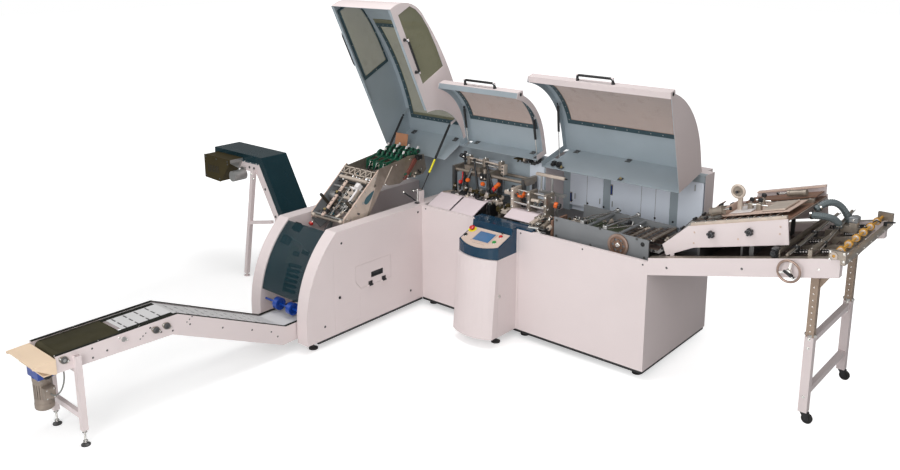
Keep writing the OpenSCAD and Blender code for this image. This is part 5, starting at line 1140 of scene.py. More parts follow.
        # knurled sleeves and caps of the two grips
        p = Kit("grip-sleeves", "black_knurled chrome steel_dark", lay=on_slope, bevel=0, body="knob_shaft")
        for x in (FAR_IN + 0.025 + 0.07, WALL_IN - 0.04 - 0.032):
            t = np.linspace(0, 1, 33)[:, None]
            a = turn(36)[None, :]
            r = 0.0142 + 0.0007 * np.sin(12 * (a + 2.4 * t)) * np.sin(12 * (a - 2.4 * t))
            h = -0.02 + 0.045 + 0.12 * t
            p.grid(np.stack([x + r * np.cos(a), 0.15 + r * np.sin(a), h + 0 * a], -1), caps=True)
            p.turned((x, 0.15, 0.152), UP, [(0, 0.0134), (0.004, 0.014), (0.01, 0.0125), (0.0125, 0.006)], 2, 28)
            p.turned((x, 0.15, -0.004), UP, [(0, 0.0185), (0.008, 0.0185), (0.016, 0.0145), (0.03, 0.014)], 1, 28)
        # cream edges of the sloping side plates, with their bolts
        p = Kit("folder-plate-edges", "cream_pink chrome guard_teal", lay=on_slope, bevel=0.0004)
        for x0, x1 in ((-2.8165, -2.8055), (-2.4165, -2.4055)):
            p.plate([(-0.028, 0.0305), (0.01, 0.0705), (0.56, 0.0705), (0.56, 0.0735), (0.008, 0.0735),
                (-0.031, 0.0335)], x0, x1)
            for u in (0.03, 0.18, 0.33, 0.48):
                p.bolt(((x0 + x1) / 2 + 0.006 * (1 if x0 > -2.5 else -1), u, 0.05), (1 if x0 > -2.5 else -1, 0, 0),
                    1, 0.005, 0.004)
        t = turn(24)
        p.plate(np.stack([0.33 + 0.075 * np.cos(t), -0.02 + 0.026 * np.sin(t) * (1 - 0.5 * np.cos(t))], 1),
            -2.4058, -2.4048, 2)
        return make_kits()


class BINDER_OT_magazine(Operator):
    """Green guide fingers, hubs, rods and plates of the stack magazine"""
    bl_idname = "binder.magazine"
    bl_label = "Stack magazine"

    def execute(self, context):
        far, near = -2.804, -2.466
        wheel_y, wheel_z = -0.116, 1.262
        step = (near - far) / 4
        p = Kit("magazine-hubs", "cream_metal black_plastic", bevel=0, body="green_wheels")
        for i in range(4):
            x = far + (i + 0.5) * step
            for k in (-1, 1):
                p.turned((x + 0.017 * k, wheel_y, wheel_z), (k, 0, 0), [(0, 0.016), (0.003, 0.015), (0.005, 0.011)])
            for k in range(5):
                a = 2 * pi * (k + 0.5) / 5
                p.bolt((x + 0.017, wheel_y + 0.032 * cos(a), wheel_z + 0.032 * sin(a)), RIGHT, 0, 0.003, 0.003)
        # rows of green fingers with pale tips above the stack
        p = Kit("magazine-fingers", "wheel_green white_part black_plastic chrome", bevel=0.0008)
        for row, (y, z) in enumerate(((0.01, 1.352), (0.11, 1.372), (0.2, 1.366))):
            p.bar((far, y, z), (near, y, z), 0.008, 0 if row % 2 else 2)
            for i in range(6):
                x = far + 0.03 + i * 0.058
                p.plate([(y - 0.04, z - 0.012), (y - 0.03, z + 0.016), (y + 0.008, z + 0.03),
                    (y + 0.034, z + 0.014), (y + 0.03, z - 0.012), (y, z - 0.018)], x - 0.009, x + 0.009)
                p.turned((x - 0.013, y, z + 0.004), RIGHT, [(0, 0.015), (0.003, 0.017), (0.023, 0.017),
                    (0.026, 0.015)], 2, 20)
                if (i + row) % 2:
                    p.plate([(y - 0.006, z + 0.026), (y + 0.01, z + 0.052), (y + 0.024, z + 0.046),
                        (y + 0.012, z + 0.022)], x - 0.006, x + 0.006, 1)
        for i in range(4):
            x = far + (i + 0.5) * step
            p.plate([(-0.18, 1.232), (-0.176, 1.33), (-0.12, 1.336), (-0.06, 1.352), (-0.06, 1.34),
                (-0.112, 1.322), (-0.16, 1.312), (-0.166, 1.232)], x - 0.004, x + 0.004)
            p.ram((x + 0.024, -0.205, 1.196), (x + 0.024, -0.15, 1.3), 0.008, 2, 3, 1)
        # green cover plate and drive beneath the wheels
        p = Kit("magazine-plates", "wheel_green black_metal cream_metal cream_pink red_brown chrome")
        p.plate([(-0.056, 1.3275), (0.196, 1.3475), (0.196, 1.3495), (-0.056, 1.3295)], far + 0.004, near - 0.002)
        p.box((far + 0.006, -0.24, 1.172), (near - 0.006, -0.212, 1.19))
        for k in range(8):
            x = far + 0.03 + 0.04 * k
            p.knob((x, -0.24, 1.18), (0, -1, 0.1), 0.01, 0.012, 1)
        for x in (far - 0.03, near + 0.004):
            p.bar((x, -0.262, 1.15), (x, -0.15, 1.302), 0.006, 2)
            p.pillow((x, -0.262, 1.146), 2, 5, 0.8)
        p.plate([(-0.02, 1.148), (0.01, 1.148), (0.165, 1.306), (0.15, 1.326), (0.118, 1.318)], -2.459, -2.443, 4)
        p.box((-2.46, 0.14, 1.306), (-2.42, 0.205, 1.345), 1, 0.004)
        for y, z in ((-0.38, 1.27), (-0.1, 1.3), (0.08, 1.32), (0.23, 1.29), (0.23, 1.2), (0.04, 1.18)):
            p.bolt((-2.46, y, z), RIGHT, 5, 0.005, 0.004)
        p = Kit("magazine-side", "steel_dark black_metal steel_warm cream_metal wheel_green",
            lay=lambda q: np.stack([-2.46 + q[..., 2], q[..., 0], q[..., 1]], -1))
        p.fittings((-0.02, 1.155, 0.0), (0.235, 1.2, 0.0), 12, 3, size=0.014)
        p = Kit("magazine-drive", "steel_dark black_metal cream_metal wheel_green chrome")
        p.fittings((far + 0.02, -0.3, 1.15), (near - 0.02, -0.24, 1.15), 12, 8, size=0.014)
        # brown board behind the stack
        p = Kit("magazine-board", "board_brown steel_dark")
        p.plate([(0.27, 1.2), (0.276, 1.2), (0.33, 1.475), (0.324, 1.475)], -2.87, -2.715)
        p.bar((-2.87, 0.3, 1.33), (-2.715, 0.3, 1.33), 0.005, 1)
        # prop and chrome bracket on the near wall
        p = Kit("wall-bracket", "chrome black_metal steel_dark")
        p.bar((-2.3, -0.002, 0.955), (-2.3, 0.002, 1.085), 0.008)
        p.bar((-2.3, -0.052, 1.08), (-2.3, 0.044, 1.074), 0.006)
        p.bolt((-2.3, -0.056, 1.08), FRONT, 0, 0.007, 0.006)
        p.bolt((-2.3, 0.046, 1.074), BACK, 0, 0.007, 0.006)
        p.box((-2.318, -0.02, 0.952), (-2.282, 0.024, 0.966), 2, 0.004)
        p.bar((-2.392, -0.08, 1.054), (-2.37, 0.052, 0.95), 0.006, 1)
        p.bolt((-2.394, -0.084, 1.058), (0, -0.8, 0.6), 0, 0.007, 0.006)
        return make_kits()


# --- binding station
class BINDER_OT_station(Operator):
    """Knobs, rods, clamps, guides and rollers of the clamp station"""
    bl_idname = "binder.station"
    bl_label = "Clamp station"

    def execute(self, context):
        metals = "steel_warm steel_dark chrome cream_metal black_metal knob_orange"
        # clamp bar across the top, with its knob cluster and hanging rods
        p = Kit("station-clamp-bar", metals)
        for y, z, f in ((0.44, 1.335, 3), (0.47, 1.318, 0), (0.455, 1.3, 2)):
            p.bar((-2.09, y, z), (-1.66, y, z - 0.018), 0.009, f)
        for x in (-2.06, -1.88, -1.7):
            p.box((x - 0.016, 0.425, 1.272), (x + 0.016, 0.485, 1.352), 0, 0.005)
            p.bolt((x, 0.455, 1.352), UP, 2, 0.008, 0.007)
        for k, (x, y, z) in enumerate(((-2.105, 0.43, 1.33), (-2.085, 0.4, 1.345), (-2.07, 0.44, 1.365),
                (-2.1, 0.47, 1.32))):
            p.knob((x, y, z), (-1, -0.3 * k, 0.4), 0.02, 0.026, 4, 7, 0.018, 2)
        p.box((-1.68, 0.42, 1.235), (-1.65, 0.48, 1.33), 3, 0.005)
        for z in (1.25, 1.28, 1.31):
            p.bolt((-1.665, 0.42, z), FRONT, 1, 0.006, 0.006)
        p = Kit("station-rods", metals)
        for a, b in (((-1.95, 0.38, 1.333), (-1.886, 0.35, 1.08)), ((-1.81, 0.38, 1.321), (-1.713, 0.35, 1.12)),
                ((-1.713, 0.35, 1.13), (-1.7, 0.35, 1.02)), ((-2.09, 0.42, 1.31), (-2.07, 0.38, 1.08))):
            p.bar(a, b, 0.01, 4)
            p.knob(a, UP, 0.015, 0.016, 4)
            p.pillow((b[0], b[1], b[2] - 0.016), 1, 2, 0.9)
        p.ram((-1.84, 0.4, 1.26), (-1.8, 0.33, 1.13), 0.018, 0, 2, 4)
        p.ram((-1.99, 0.4, 1.25), (-2.02, 0.34, 1.11), 0.016, 1, 2, 4)
        p.box((-1.87, 0.35, 1.17), (-1.8, 0.4, 1.235), 4, 0.006)
        p.knob((-1.835, 0.35, 1.205), FRONT, 0.024, 0.02, 4, 8)
        p.bolt((-1.835, 0.33, 1.205), FRONT, 2, 0.008)
        # orange and red knobs along the front edge
        p = Kit("station-knobs", "knob_orange knob_red black_plastic chrome")
        for x, z, f in ((-1.961, 1.155, 0), (-1.79, 1.149, 0), (-1.615, 1.174, 0), (-1.64, 1.15, 0),
                (-1.665, 1.128, 1), (-2.05, 1.125, 1), (-1.99, 1.12, 2), (-1.73, 1.118, 2)):
            p.knob((x, 0.335, z), (0.25 * (f - 1), -1, 0.35), 0.019 - 0.004 * (f == 2), 0.026, f, 7, 0.016, 3)
        p.bar((-2.052, 0.33, 1.12), (-2.046, 0.334, 1.225), 0.0055, 1)
        p.bar((-1.69, 0.33, 1.1), (-1.655, 0.334, 1.175), 0.005, 1)
        p.knob((-0.99, 0.29, 1.12), (-0.9, -0.3, 0.2), 0.026, 0.03, 0, 8)
        p.knob((-0.988, 0.29, 1.12), (0.9, 0.3, -0.2), 0.023, 0.026, 2, 8)
        # dark works behind the white guide sheets
        p = Kit("station-works", "steel_dark black_metal steel_warm cream_metal chrome olive")
        p.fittings((-2.16, 0.24, 1.0), (-1.56, 0.345, 1.0), 30, 21, size=0.03)
        p.fittings((-2.14, 0.3, 1.06), (-1.6, 0.35, 1.06), 22, 4, size=0.022)
        p.fittings((-1.54, 0.18, 0.98), (-1.43, 0.33, 0.98), 16, 9, size=0.026)
        for k in range(6):
            x = -2.15 + 0.118 * k
            p.box((x, 0.225, 0.888), (x + 0.03, 0.35, 1.01), k % 3, 0.004)
        # rods and blocks of the cover gripper
        p = Kit("station-gripper", metals)
        for y, z in ((0.3, 1.18), (0.25, 1.085), (0.345, 1.12), (0.29, 1.02)):
            p.bar((-1.44, y, z), (-1.05, y, z - 0.004), 0.01, 2)
        for x in (-1.42, -1.25, -1.08):
            p.box((x - 0.014, 0.235, 1.0), (x + 0.014, 0.36, 1.205), 0 if x > -1.3 else 3, 0.004)
            for z in (1.04, 1.11, 1.18):
                p.bolt((x, 0.235, z), FRONT, 2, 0.007, 0.006)
        p.fittings((-1.5, 0.25, 1.13), (-1.3, 0.35, 1.13), 16, 14, size=0.024)
        p.fittings((-1.28, 0.24, 1.09), (-1.06, 0.34, 1.09), 8, 31, size=0.018)
        p.ram((-1.23, 0.26, 1.13), (-1.11, 0.262, 1.128), 0.014, 3, 2, 4)
        # tall T-shaped stop above the cross-bar
        p = Kit("station-stop", "cream_metal steel black_plastic")
        for x in (-1.245, -1.135):
            p.bar((x, 0.42, 1.18), (x, 0.42, 1.312), 0.0085, 1)
            p.bolt((x, 0.42, 1.18), UP, 1, 0.011, 0.01)
        p.box((-1.298, 0.406, 1.306), (-1.01, 0.434, 1.33))
        p.bar((-1.01, 0.42, 1.318), (-0.986, 0.42, 1.318), 0.007, 2)
        # clamps and cross-pieces under the hinge line
        p = Kit("station-hinge-clamps", "black_metal steel_dark olive cream_metal chrome")
        p.bar((-1.64, 0.574, 1.398), (-1.35, 0.574, 1.394), 0.009, 1)
        p.bar((-1.24, 0.574, 1.394), (-1.15, 0.574, 1.392), 0.009, 1)
        for x in (-1.46, -1.375, -1.222, -1.17):
            p.box((x - 0.018, 0.552, 1.372), (x + 0.018, 0.59, 1.412), 0, 0.006)
            p.knob((x, 0.556, 1.388), (0, -1, -0.2), 0.017, 0.022, 0, 7)
        p.box((-1.62, 0.52, 1.376), (-1.5, 0.59, 1.384), 2, 0.002)
        p.box((-1.512, 0.516, 1.372), (-1.5, 0.592, 1.402), 3, 0.002)
        p.fittings((-1.6, 0.54, 1.35), (-1.38, 0.565, 1.35), 8, 6, size=0.018)
        # fold lines of the white guide sheets
        p = Kit("guide-sheet-trim", "seam_grey chrome white_part")
        for x in (-2.202, -1.952, -1.932, -1.682):
            p.plate([(0.0965, 0.9815), (0.0965, 0.987), (0.1, 0.987), (0.1, 0.9815)], x, x + 0.004)
        # rollers and cylinders right of the third sheet
        p = Kit("cover-feed-works", "cream_metal chrome steel_dark wood_brown black_metal steel_warm")
        for k in range(4):
            p.roller((-1.11 + 0.058 * k, 0.066, 0.985), (-1.11 + 0.058 * k, 0.3, 1.01), 0.02, (0, 1, 5, 0)[k], 2)
        p.box((-0.935, 0.11, 0.892), (-0.915, 0.33, 1.05), 3)
        p.box((-1.125, 0.04, 0.892), (-0.935, 0.058, 0.96), 2, 0.004)
        p.fittings((-1.12, 0.13, 1.012), (-0.93, 0.24, 1.012), 16, 12, size=0.018)
        p.knob((-1.0, 0.042, 0.935), FRONT, 0.03, 0.016, 1, 12)
        p.ram((-1.1, 0.05, 0.968), (-0.94, 0.048, 0.982), 0.017, 1, 2, 4)
        return make_kits()


class BINDER_OT_infeed(Operator):
    """Guide rods, belts, plates and bearings of the bed between the side plates"""
    bl_idname = "binder.infeed"
    bl_label = "Infeed bed"

    def execute(self, context):
        p = Kit("infeed-guide-rods", "chrome black_metal steel")
        for x0, x1 in ((-0.648, -0.574), (-0.441, -0.386)):
            p.bar((x0, 0.12, 1.092), (x1, 0.56, 1.102), 0.0095)
            for t in (0.02, 0.98):
                q = np.array([x0, 0.12, 1.092]) * (1 - t) + np.array([x1, 0.56, 1.102]) * t
                p.box(q + [-0.018, -0.012, -0.016], q + [0.018, 0.012, 0.014], 2, 0.004)
                p.bolt(q + [0, 0, 0.014], UP, 1, 0.006, 0.006)
            p.hose([(x0, 0.14, 1.098), (x0 - 0.02, 0.22, 1.122), (x1 - 0.02, 0.34, 1.122), (x1, 0.43, 1.104)],
                0.0035)
        # dark green slide plates, brown belts and their rollers
        p = Kit("infeed-plates", "slide_green steel olive")
        for x0, x1, z in ((-0.87, -0.66, 0.992), (-0.64, -0.42, 1.0)):
            p.box((x0, 0.14, z - 0.01), (x1, 0.53, z), 0, 0.006)
            for y in np.linspace(0.17, 0.5, 5):
                for x in (x0 + 0.014, x1 - 0.014):
                    p.bolt((x, y, z), UP, 1, 0.005, 0.004)
        p = Kit("infeed-belts", "belt_brown steel_warm steel_dark chrome")
        for k in range(6):
            y = 0.165 + 0.066 * k
            s = np.linspace(0, 1, 12)
            x, z = -0.43 + 0.385 * s, 1.008 + 0.068 * s ** 1.5
            p.strip(np.stack([x, z], 1), [(y - 0.018, 0), (y + 0.018, 0), (y + 0.018, -0.004), (y - 0.018,
                -0.004)], 1)
        for k in range(7):
            x = -0.4 + 0.058 * k
            p.roller((x, 0.135, 0.992 + 0.012 * k), (x, 0.548, 0.992 + 0.012 * k), 0.013, 1 + k % 2, 3)
        p = Kit("infeed-fittings", "steel_dark steel_warm cream_metal chrome black_metal olive")
        p.fittings((-0.885, 0.15, 1.0), (-0.72, 0.42, 1.0), 30, 17, size=0.02)
        p.fittings((-0.66, 0.44, 1.01), (-0.2, 0.54, 1.01), 18, 23, size=0.016)
        p.knob((-0.34, 0.33, 1.066), UP, 0.017, 0.03, 4, 6, 0.02, 3)
        p.bar((-0.52, 0.25, 1.03), (-0.33, 0.42, 1.06), 0.006, 3)
        # bearing boss and bolts of the near side plate
        p = Kit("infeed-plate-fittings", "steel_dark chrome plate_grey black_plastic")
        p.turned((-0.312, 0.1005, BED_Z + 0.091), FRONT, [(0, 0.019), (0.003, 0.0205), (0.006, 0.018),
            (0.006, 0.009), (0.003, 0.009)], 1, 28)
        for x, z in ((-0.88, 0.93), (-0.88, 1.06), (-0.48, 1.075), (-0.16, 1.062), (-0.09, 0.93), (-0.56, 0.925)):
            p.bolt((x, 0.1155, z), FRONT, 0, 0.0065)
        p.bolt((-0.11, 0.1155, 1.03), FRONT, 3, 0.011, 0.004)
        p = Kit("disc-wheel-trim", "rim_brown steel_dark", bevel=0, body="disc_wheel")
        at = np.array([-0.312, 0.101, BED_Z + 0.091])
        p.ring(at + [0, -0.0002, 0], FRONT, [(0, 0.07), (0.0006, 0.0716), (0.0006, 0.0864), (0, 0.0876)], n=64)
        for k in range(6):
            a = 2 * pi * (k + 0.5) / 6
            p.bolt(at + [0.046 * cos(a), 0.004, 0.046 * sin(a)], FRONT, 1, 0.004, 0.003)
        return make_kits()


class BINDER_OT_rear_wall(Operator):
    """Handles, latches, catches and seams of the rear wall's doors"""
    bl_idname = "binder.rear_wall"
    bl_label = "Rear wall fittings"

    def execute(self, context):
        y = 0.8975
        # pale door skins between the posts, in front of the middle rail; their paleness is partly painted light
        p = Kit("wall-doors", "rear_panel rear_panel")
        for x0, x1 in ((-1.261, -0.921), (-0.849, -0.291), (-0.219, -0.004)):
            p.box((x0, y, 0.945), (x1, y + 0.0022, 1.358), 0, 0.001)
        # pale skins on the left wall in the same door finish, partly painted light on faces in shade
        p = Kit("wall-panels", "rear_panel seam_grey")
        for x0, x1, z0, z1 in ((-1.5, -1.345, 1.02, 1.385), (-2.08, -1.79, 1.02, 1.3)):
            p.box((x0, 0.6065, z0), (x1, 0.6085, z1), 0, 0.001)
        p = Kit("wall-handles", "motor_blue steel_dark chrome")
        for x, z in ((-0.838, 1.155), (-1.248, 1.014)):
            p.box((x - 0.011, y - 0.003, z - 0.048), (x + 0.011, y, z + 0.048), 1, 0.004)
            p.bar((x, y - 0.005, z - 0.038), (x, y - 0.005, z + 0.038), 0.0038)
            for k in (-1, 1):
                p.bolt((x, y - 0.003, z + 0.043 * k), FRONT, 2, 0.0035, 0.003)
        p = Kit("wall-catches", "brass steel_dark black_metal lining_blue")
        for x in (-1.085, -0.552):
            p.plate([(x - 0.044, 1.405), (x + 0.044, 1.405), (x + 0.034, 1.372), (x + 0.012, 1.35),
                (x - 0.012, 1.35), (x - 0.034, 1.372)], y - 0.004, y + 0.002, 0, 1)
            for dx in (-0.024, 0.024):
                p.bolt((x + dx, y - 0.004, 1.388), FRONT, 1, 0.006, 0.003)
            p.knob((x, y - 0.004, 1.366), FRONT, 0.01, 0.004, 2)
        for x in (-1.125, -0.875, -0.595):
            p.box((x - 0.026, y - 0.006, 1.404), (x + 0.026, y + 0.002, 1.414), 2, 0.002)
        p.plate([(-0.96, 1.405), (-0.93, 1.405), (-0.848, 1.318), (-0.848, 1.285)], y - 0.006, y - 0.001, 3, 1)
        # vertical seams and hinges of the pale doors
        p = Kit("wall-seams", "seam_grey steel black_metal")
        for x in (-1.085, -0.552, -0.42):
            p.box((x - 0.0018, y - 0.0006, 0.955), (x + 0.0018, y + 0.0005, 1.345), 0, 0.0005)
        for x in (-1.206, -0.95, -0.826, -0.076):
            for z in (1.03, 1.31):
                p.bar((x, y - 0.003, z - 0.025), (x, y - 0.003, z + 0.025), 0.0045, 1)
        for x in np.linspace(-1.24, -0.09, 8):
            p.bolt((x, y, 0.985), FRONT, 2, 0.006, 0.004)
        return make_kits()


# --- conveyors
class BINDER_OT_conveyor(Operator):
    """Belt cleats, edge strips, bearings, bolts and motor fittings of the infeed conveyor"""
    bl_idname = "binder.conveyor"
    bl_label = "Infeed conveyor"

    def execute(self, context):
        near, far, middle, top = -2.375, -2.735, -2.555, 0.671
        run = np.array([(-3.303, top), (-2.423, top), (-1.477, 0.246), (-1.0, 0.246)])
        # black wear strips along both flanges, with a raised lip
        p = Kit("edge-strips", "belt_edge chrome")
        s = spaced(run, 10)
        for x0, x1 in ((near - 0.024, near - 0.001), (far + 0.001, far + 0.024)):
            ring = [(x0, 0.0003), (x0, 0.004), ((x0 + x1) / 2, 0.0062), (x1, 0.004), (x1, 0.0003)]
            p.strip(s, ring)
            for q in s[::3]:
                p.bolt(((x0 + x1) / 2, q[0], q[1] + 0.0055), UP, 1, 0.0028, 0.0015)
        for x0, x1 in ((near - 0.078, near - 0.025), (far + 0.025, far + 0.066)):
            p.box((x0, -2.838, top - 0.0105), (x1, -2.43, top - 0.0065), 0, 0.001)
        # fabric belt with fine cross ribs
        p = Kit("belt-ribs", "belt belt_edge", bevel=0)
        half, z = 0.155, top - 0.008
        ys = np.linspace(-3.25, -2.845, 163)
        rib = np.where(np.arange(163) % 2, 0.0006, 0.0014)
        p.strip(np.stack([ys, np.full(163, z)], 1), [(middle - half, 0.0002), (middle - half + 0.001, rib),
            (middle + half - 0.001, rib), (middle + half, 0.0002)])
        for x in (middle - half + 0.012, middle + half - 0.012):
            p.box((x - 0.0015, -3.25, z + 0.0006), (x + 0.0015, -2.845, z + 0.0024), 1, 0.0005)
        # dark rows of slots in the white bed
        p = Kit("bed-slots", "slot_dark slotted", bevel=0)
        for x in (far + 0.07, far + 0.15, far + 0.23):
            for k in range(4):
                y = -2.843 + 0.07 + 0.085 * k
                p.box((x + 0.001, y + 0.001, top - 0.0113), (x + 0.059, y + 0.013, top - 0.0108), 0, 0.004)
        a = atan2(0.425, 0.946)
        u = np.array([0, cos(a), -sin(a)])
        base = np.array([0, -2.423, top])
        for x in (far + 0.11, far + 0.19, far + 0.27):
            for k in range(10):
                q = base + u * (0.068 + 0.092 * k) + [x - 0.01, 0, -0.0125]
                corners = np.array([q + [dx, 0, 0] + u * du for dx, du in ((-0.028, -0.007), (0.028, -0.007),
                    (0.028, 0.007), (-0.028, 0.007))])
                p.grid(np.stack([corners, corners + 0.0005 * np.array([0, sin(a), cos(a)])]), caps=True)
        # bolts of the side plates
        p = Kit("conveyor-bolts", "steel_dark chrome steel")
        spots = [(-3.25, 0.61), (-3.18, 0.585), (-3.06, 0.64), (-3.06, 0.575), (-2.96, 0.59), (-2.64, 0.64),
            (-2.56, 0.58), (-2.47, 0.56), (-2.33, 0.56), (-2.06, 0.44), (-1.8, 0.33), (-1.62, 0.25), (-1.56, 0.19)]
        for y, z in spots:
            for x, d in ((near, RIGHT), (far, LEFT)):
                p.bolt((x, y, z), d, 0, 0.0045, 0.004)
        for y in (-3.251, -2.843):
            for x, d in ((near + 0.01, 1), (far - 0.01, -1)):
                p.ring((x, y, 0.632), (d, 0, 0), [(0, 0.0087), (0, 0.017), (0.003, 0.018), (0.006, 0.0165),
                    (0.006, 0.0087)], 2)
                for k in (-1, 1):
                    p.bolt((x - 0.004 * d, y + 0.024 * k, 0.632 - 0.014 * k), (d, 0, 0), 1, 0.0055)
        # pair of flange bearings and a row of screws on the near side plate
        p = Kit("conveyor-bearings", "steel_warm steel_dark chrome")
        for at, z in ((-2.6, 0.611), (-2.516, 0.613), (-3.251, 0.632)):
            t = turn(32)
            wide = 0.026 + 0.014 * np.abs(np.cos(t)) ** 3
            u, v = wide * np.cos(t), 0.026 * np.sin(t)
            p.plate(np.stack([at + 0.82 * u - 0.57 * v, z - 0.57 * u - 0.82 * v], 1), near + 0.0005, near + 0.007)
            p.turned((near + 0.007, at, z), RIGHT, [(0, 0.023), (0.006, 0.022), (0.01, 0.019), (0.01, 0.011),
                (0.004, 0.01)], 1, 28)
            for k in (-1, 1):
                p.bolt((near + 0.007, at + 0.027 * k, z - 0.019 * k), RIGHT, 2, 0.0042, 0.004)
        for k in range(6):
            p.bolt((near, -2.72 + 0.022 * k + 0.3 * (k > 2), 0.585 + 0.014 * (k % 3)), RIGHT, 1, 0.0032, 0.003)
        # geared motor: flange bolts, fan cowl and the terminal box's lid
        y, g = -3.323, top - 0.112
        p = Kit("motor-fittings", "motor_blue motor_grey steel_dark black_plastic chrome")
        for dx in (-0.062, 0.062):
            for dy in (-0.046, 0.046):
                p.bolt((middle + dx, y + dy, g - 0.0625), DOWN, 4, 0.0065, 0.006)
        for k in range(8):
            t = 2 * pi * (k + 0.5) / 8
            p.bolt((middle + 0.055 * cos(t), y + 0.055 * sin(t), g - 0.0935), DOWN, 4, 0.0045)
        p.turned((middle, y, g - 0.282), DOWN, [(0, 0.0615), (0.006, 0.06), (0.012, 0.052), (0.014, 0.03)], 1, 36)
        for k in range(12):
            t = 2 * pi * k / 12
            d, c = np.array([cos(t), sin(t)]), np.array([middle, y])
            a, b, n = c + d * 0.016, c + d * 0.046, np.array([-d[1], d[0]]) * 0.0025
            p.plate([a + n, b + n, b - n, a - n], g - 0.2975, g - 0.2955, 3, 2)
        x = middle + 0.102
        p.box((x, y - 0.031, g - 0.196), (x + 0.006, y + 0.031, g - 0.124), 1, 0.004)
        for dy in (-0.024, 0.024):
            for dz in (-0.189, -0.131):
                p.bolt((x + 0.006, y + dy, g + dz), RIGHT, 4, 0.003, 0.003)
        for k in (1, -1):
            p.turned((middle + 0.086 * k, y, g - 0.034), (k, 0, 0), [(0, 0.029), (0.003, 0.031), (0.007, 0.029),
                (0.009, 0.018)], 3, 28)
        # nuts on the threaded spindles of the feet
        p = Kit("leg-spindles", "chrome rubber", bevel=0.0004)
        for x in (far - 0.02, near + 0.02):
            t = np.linspace(0, 1, 121)
            r = 0.0066 + 0.0005 * np.sin(2 * pi * 40 * t)
            p.grid(lathe((x, -3.173, 0.022), UP, np.stack([0.086 * t, r], 1), 14), caps=True)
            for z in (0.03, 0.094):
                p.bolt((x, -3.173, z), UP, 0, 0.0105, 0.009)
            p.ring((x, -3.173, 0.0005), UP, [(0, 0.0285), (0, 0.0306), (0.006, 0.0306), (0.0075, 0.029)], 1, 32)
        return make_kits()


class BINDER_OT_waste(Operator):
    """Motor box, seams and bolts of the waste conveyor"""
    bl_idname = "binder.waste"
    bl_label = "Waste conveyor"

    def execute(self, context):
        wx, wy, wz = FOLD_X - 0.836, -0.6, 1.25
        end = wx - 0.71
        p = Kit("waste-box", "olive steel_dark black_plastic", bevel=0.0015)
        p.plate([(end + 0.046, wz - 0.036), (end + 0.046, wz - 0.269), (end + 0.302, wz - 0.279),
            (end + 0.465, wz - 0.072), (end + 0.465, wz - 0.036)], wy - 0.159, wy - 0.154, 0, 1)
        for x, z in ((0.07, -0.06), (0.07, -0.245), (0.29, -0.25), (0.43, -0.085), (0.43, -0.058), (0.25, -0.058)):
            p.bolt((end + x, wy - 0.159, wz + z), FRONT, 1)
        for k in range(7):
            p.box((end + 0.11 + 0.026 * k, wy - 0.1605, wz - 0.2), (end + 0.118 + 0.026 * k, wy - 0.1585,
                wz - 0.13), 2, 0.002)
        p = Kit("waste-bolts", "steel_dark chrome")
        for x, z in ((end + 0.055, wz - 0.115), (end + 0.56, wz - 0.12), (wx - 0.08, wz - 0.12),
                (wx + 0.08, wz - 0.3), (wx + 0.22, wz - 0.545), (wx + 0.38, wz - 0.82)):
            p.bolt((x, wy, z), FRONT, 0, 0.008, 0.006)
        for y in (wy - 0.04, wy + 0.3):
            for k in range(2):
                p.bolt((wx - 0.075 + 0.03 * k, y, wz - 0.17 - 0.04 * k), FRONT, 1, 0.008, 0.006)
        # folded rim and rivets of the tinted cover
        p = Kit("waste-cover-trim", "strip_dark chrome")
        p.box((end - 0.002, wy - 0.003, wz - 0.078), (wx - 0.01, wy, wz - 0.066), 0, 0.001)
        for k in range(8):
            p.bolt((end + 0.04 + 0.09 * k, wy - 0.003, wz - 0.072), FRONT, 1, 0.004, 0.003)
        return make_kits()


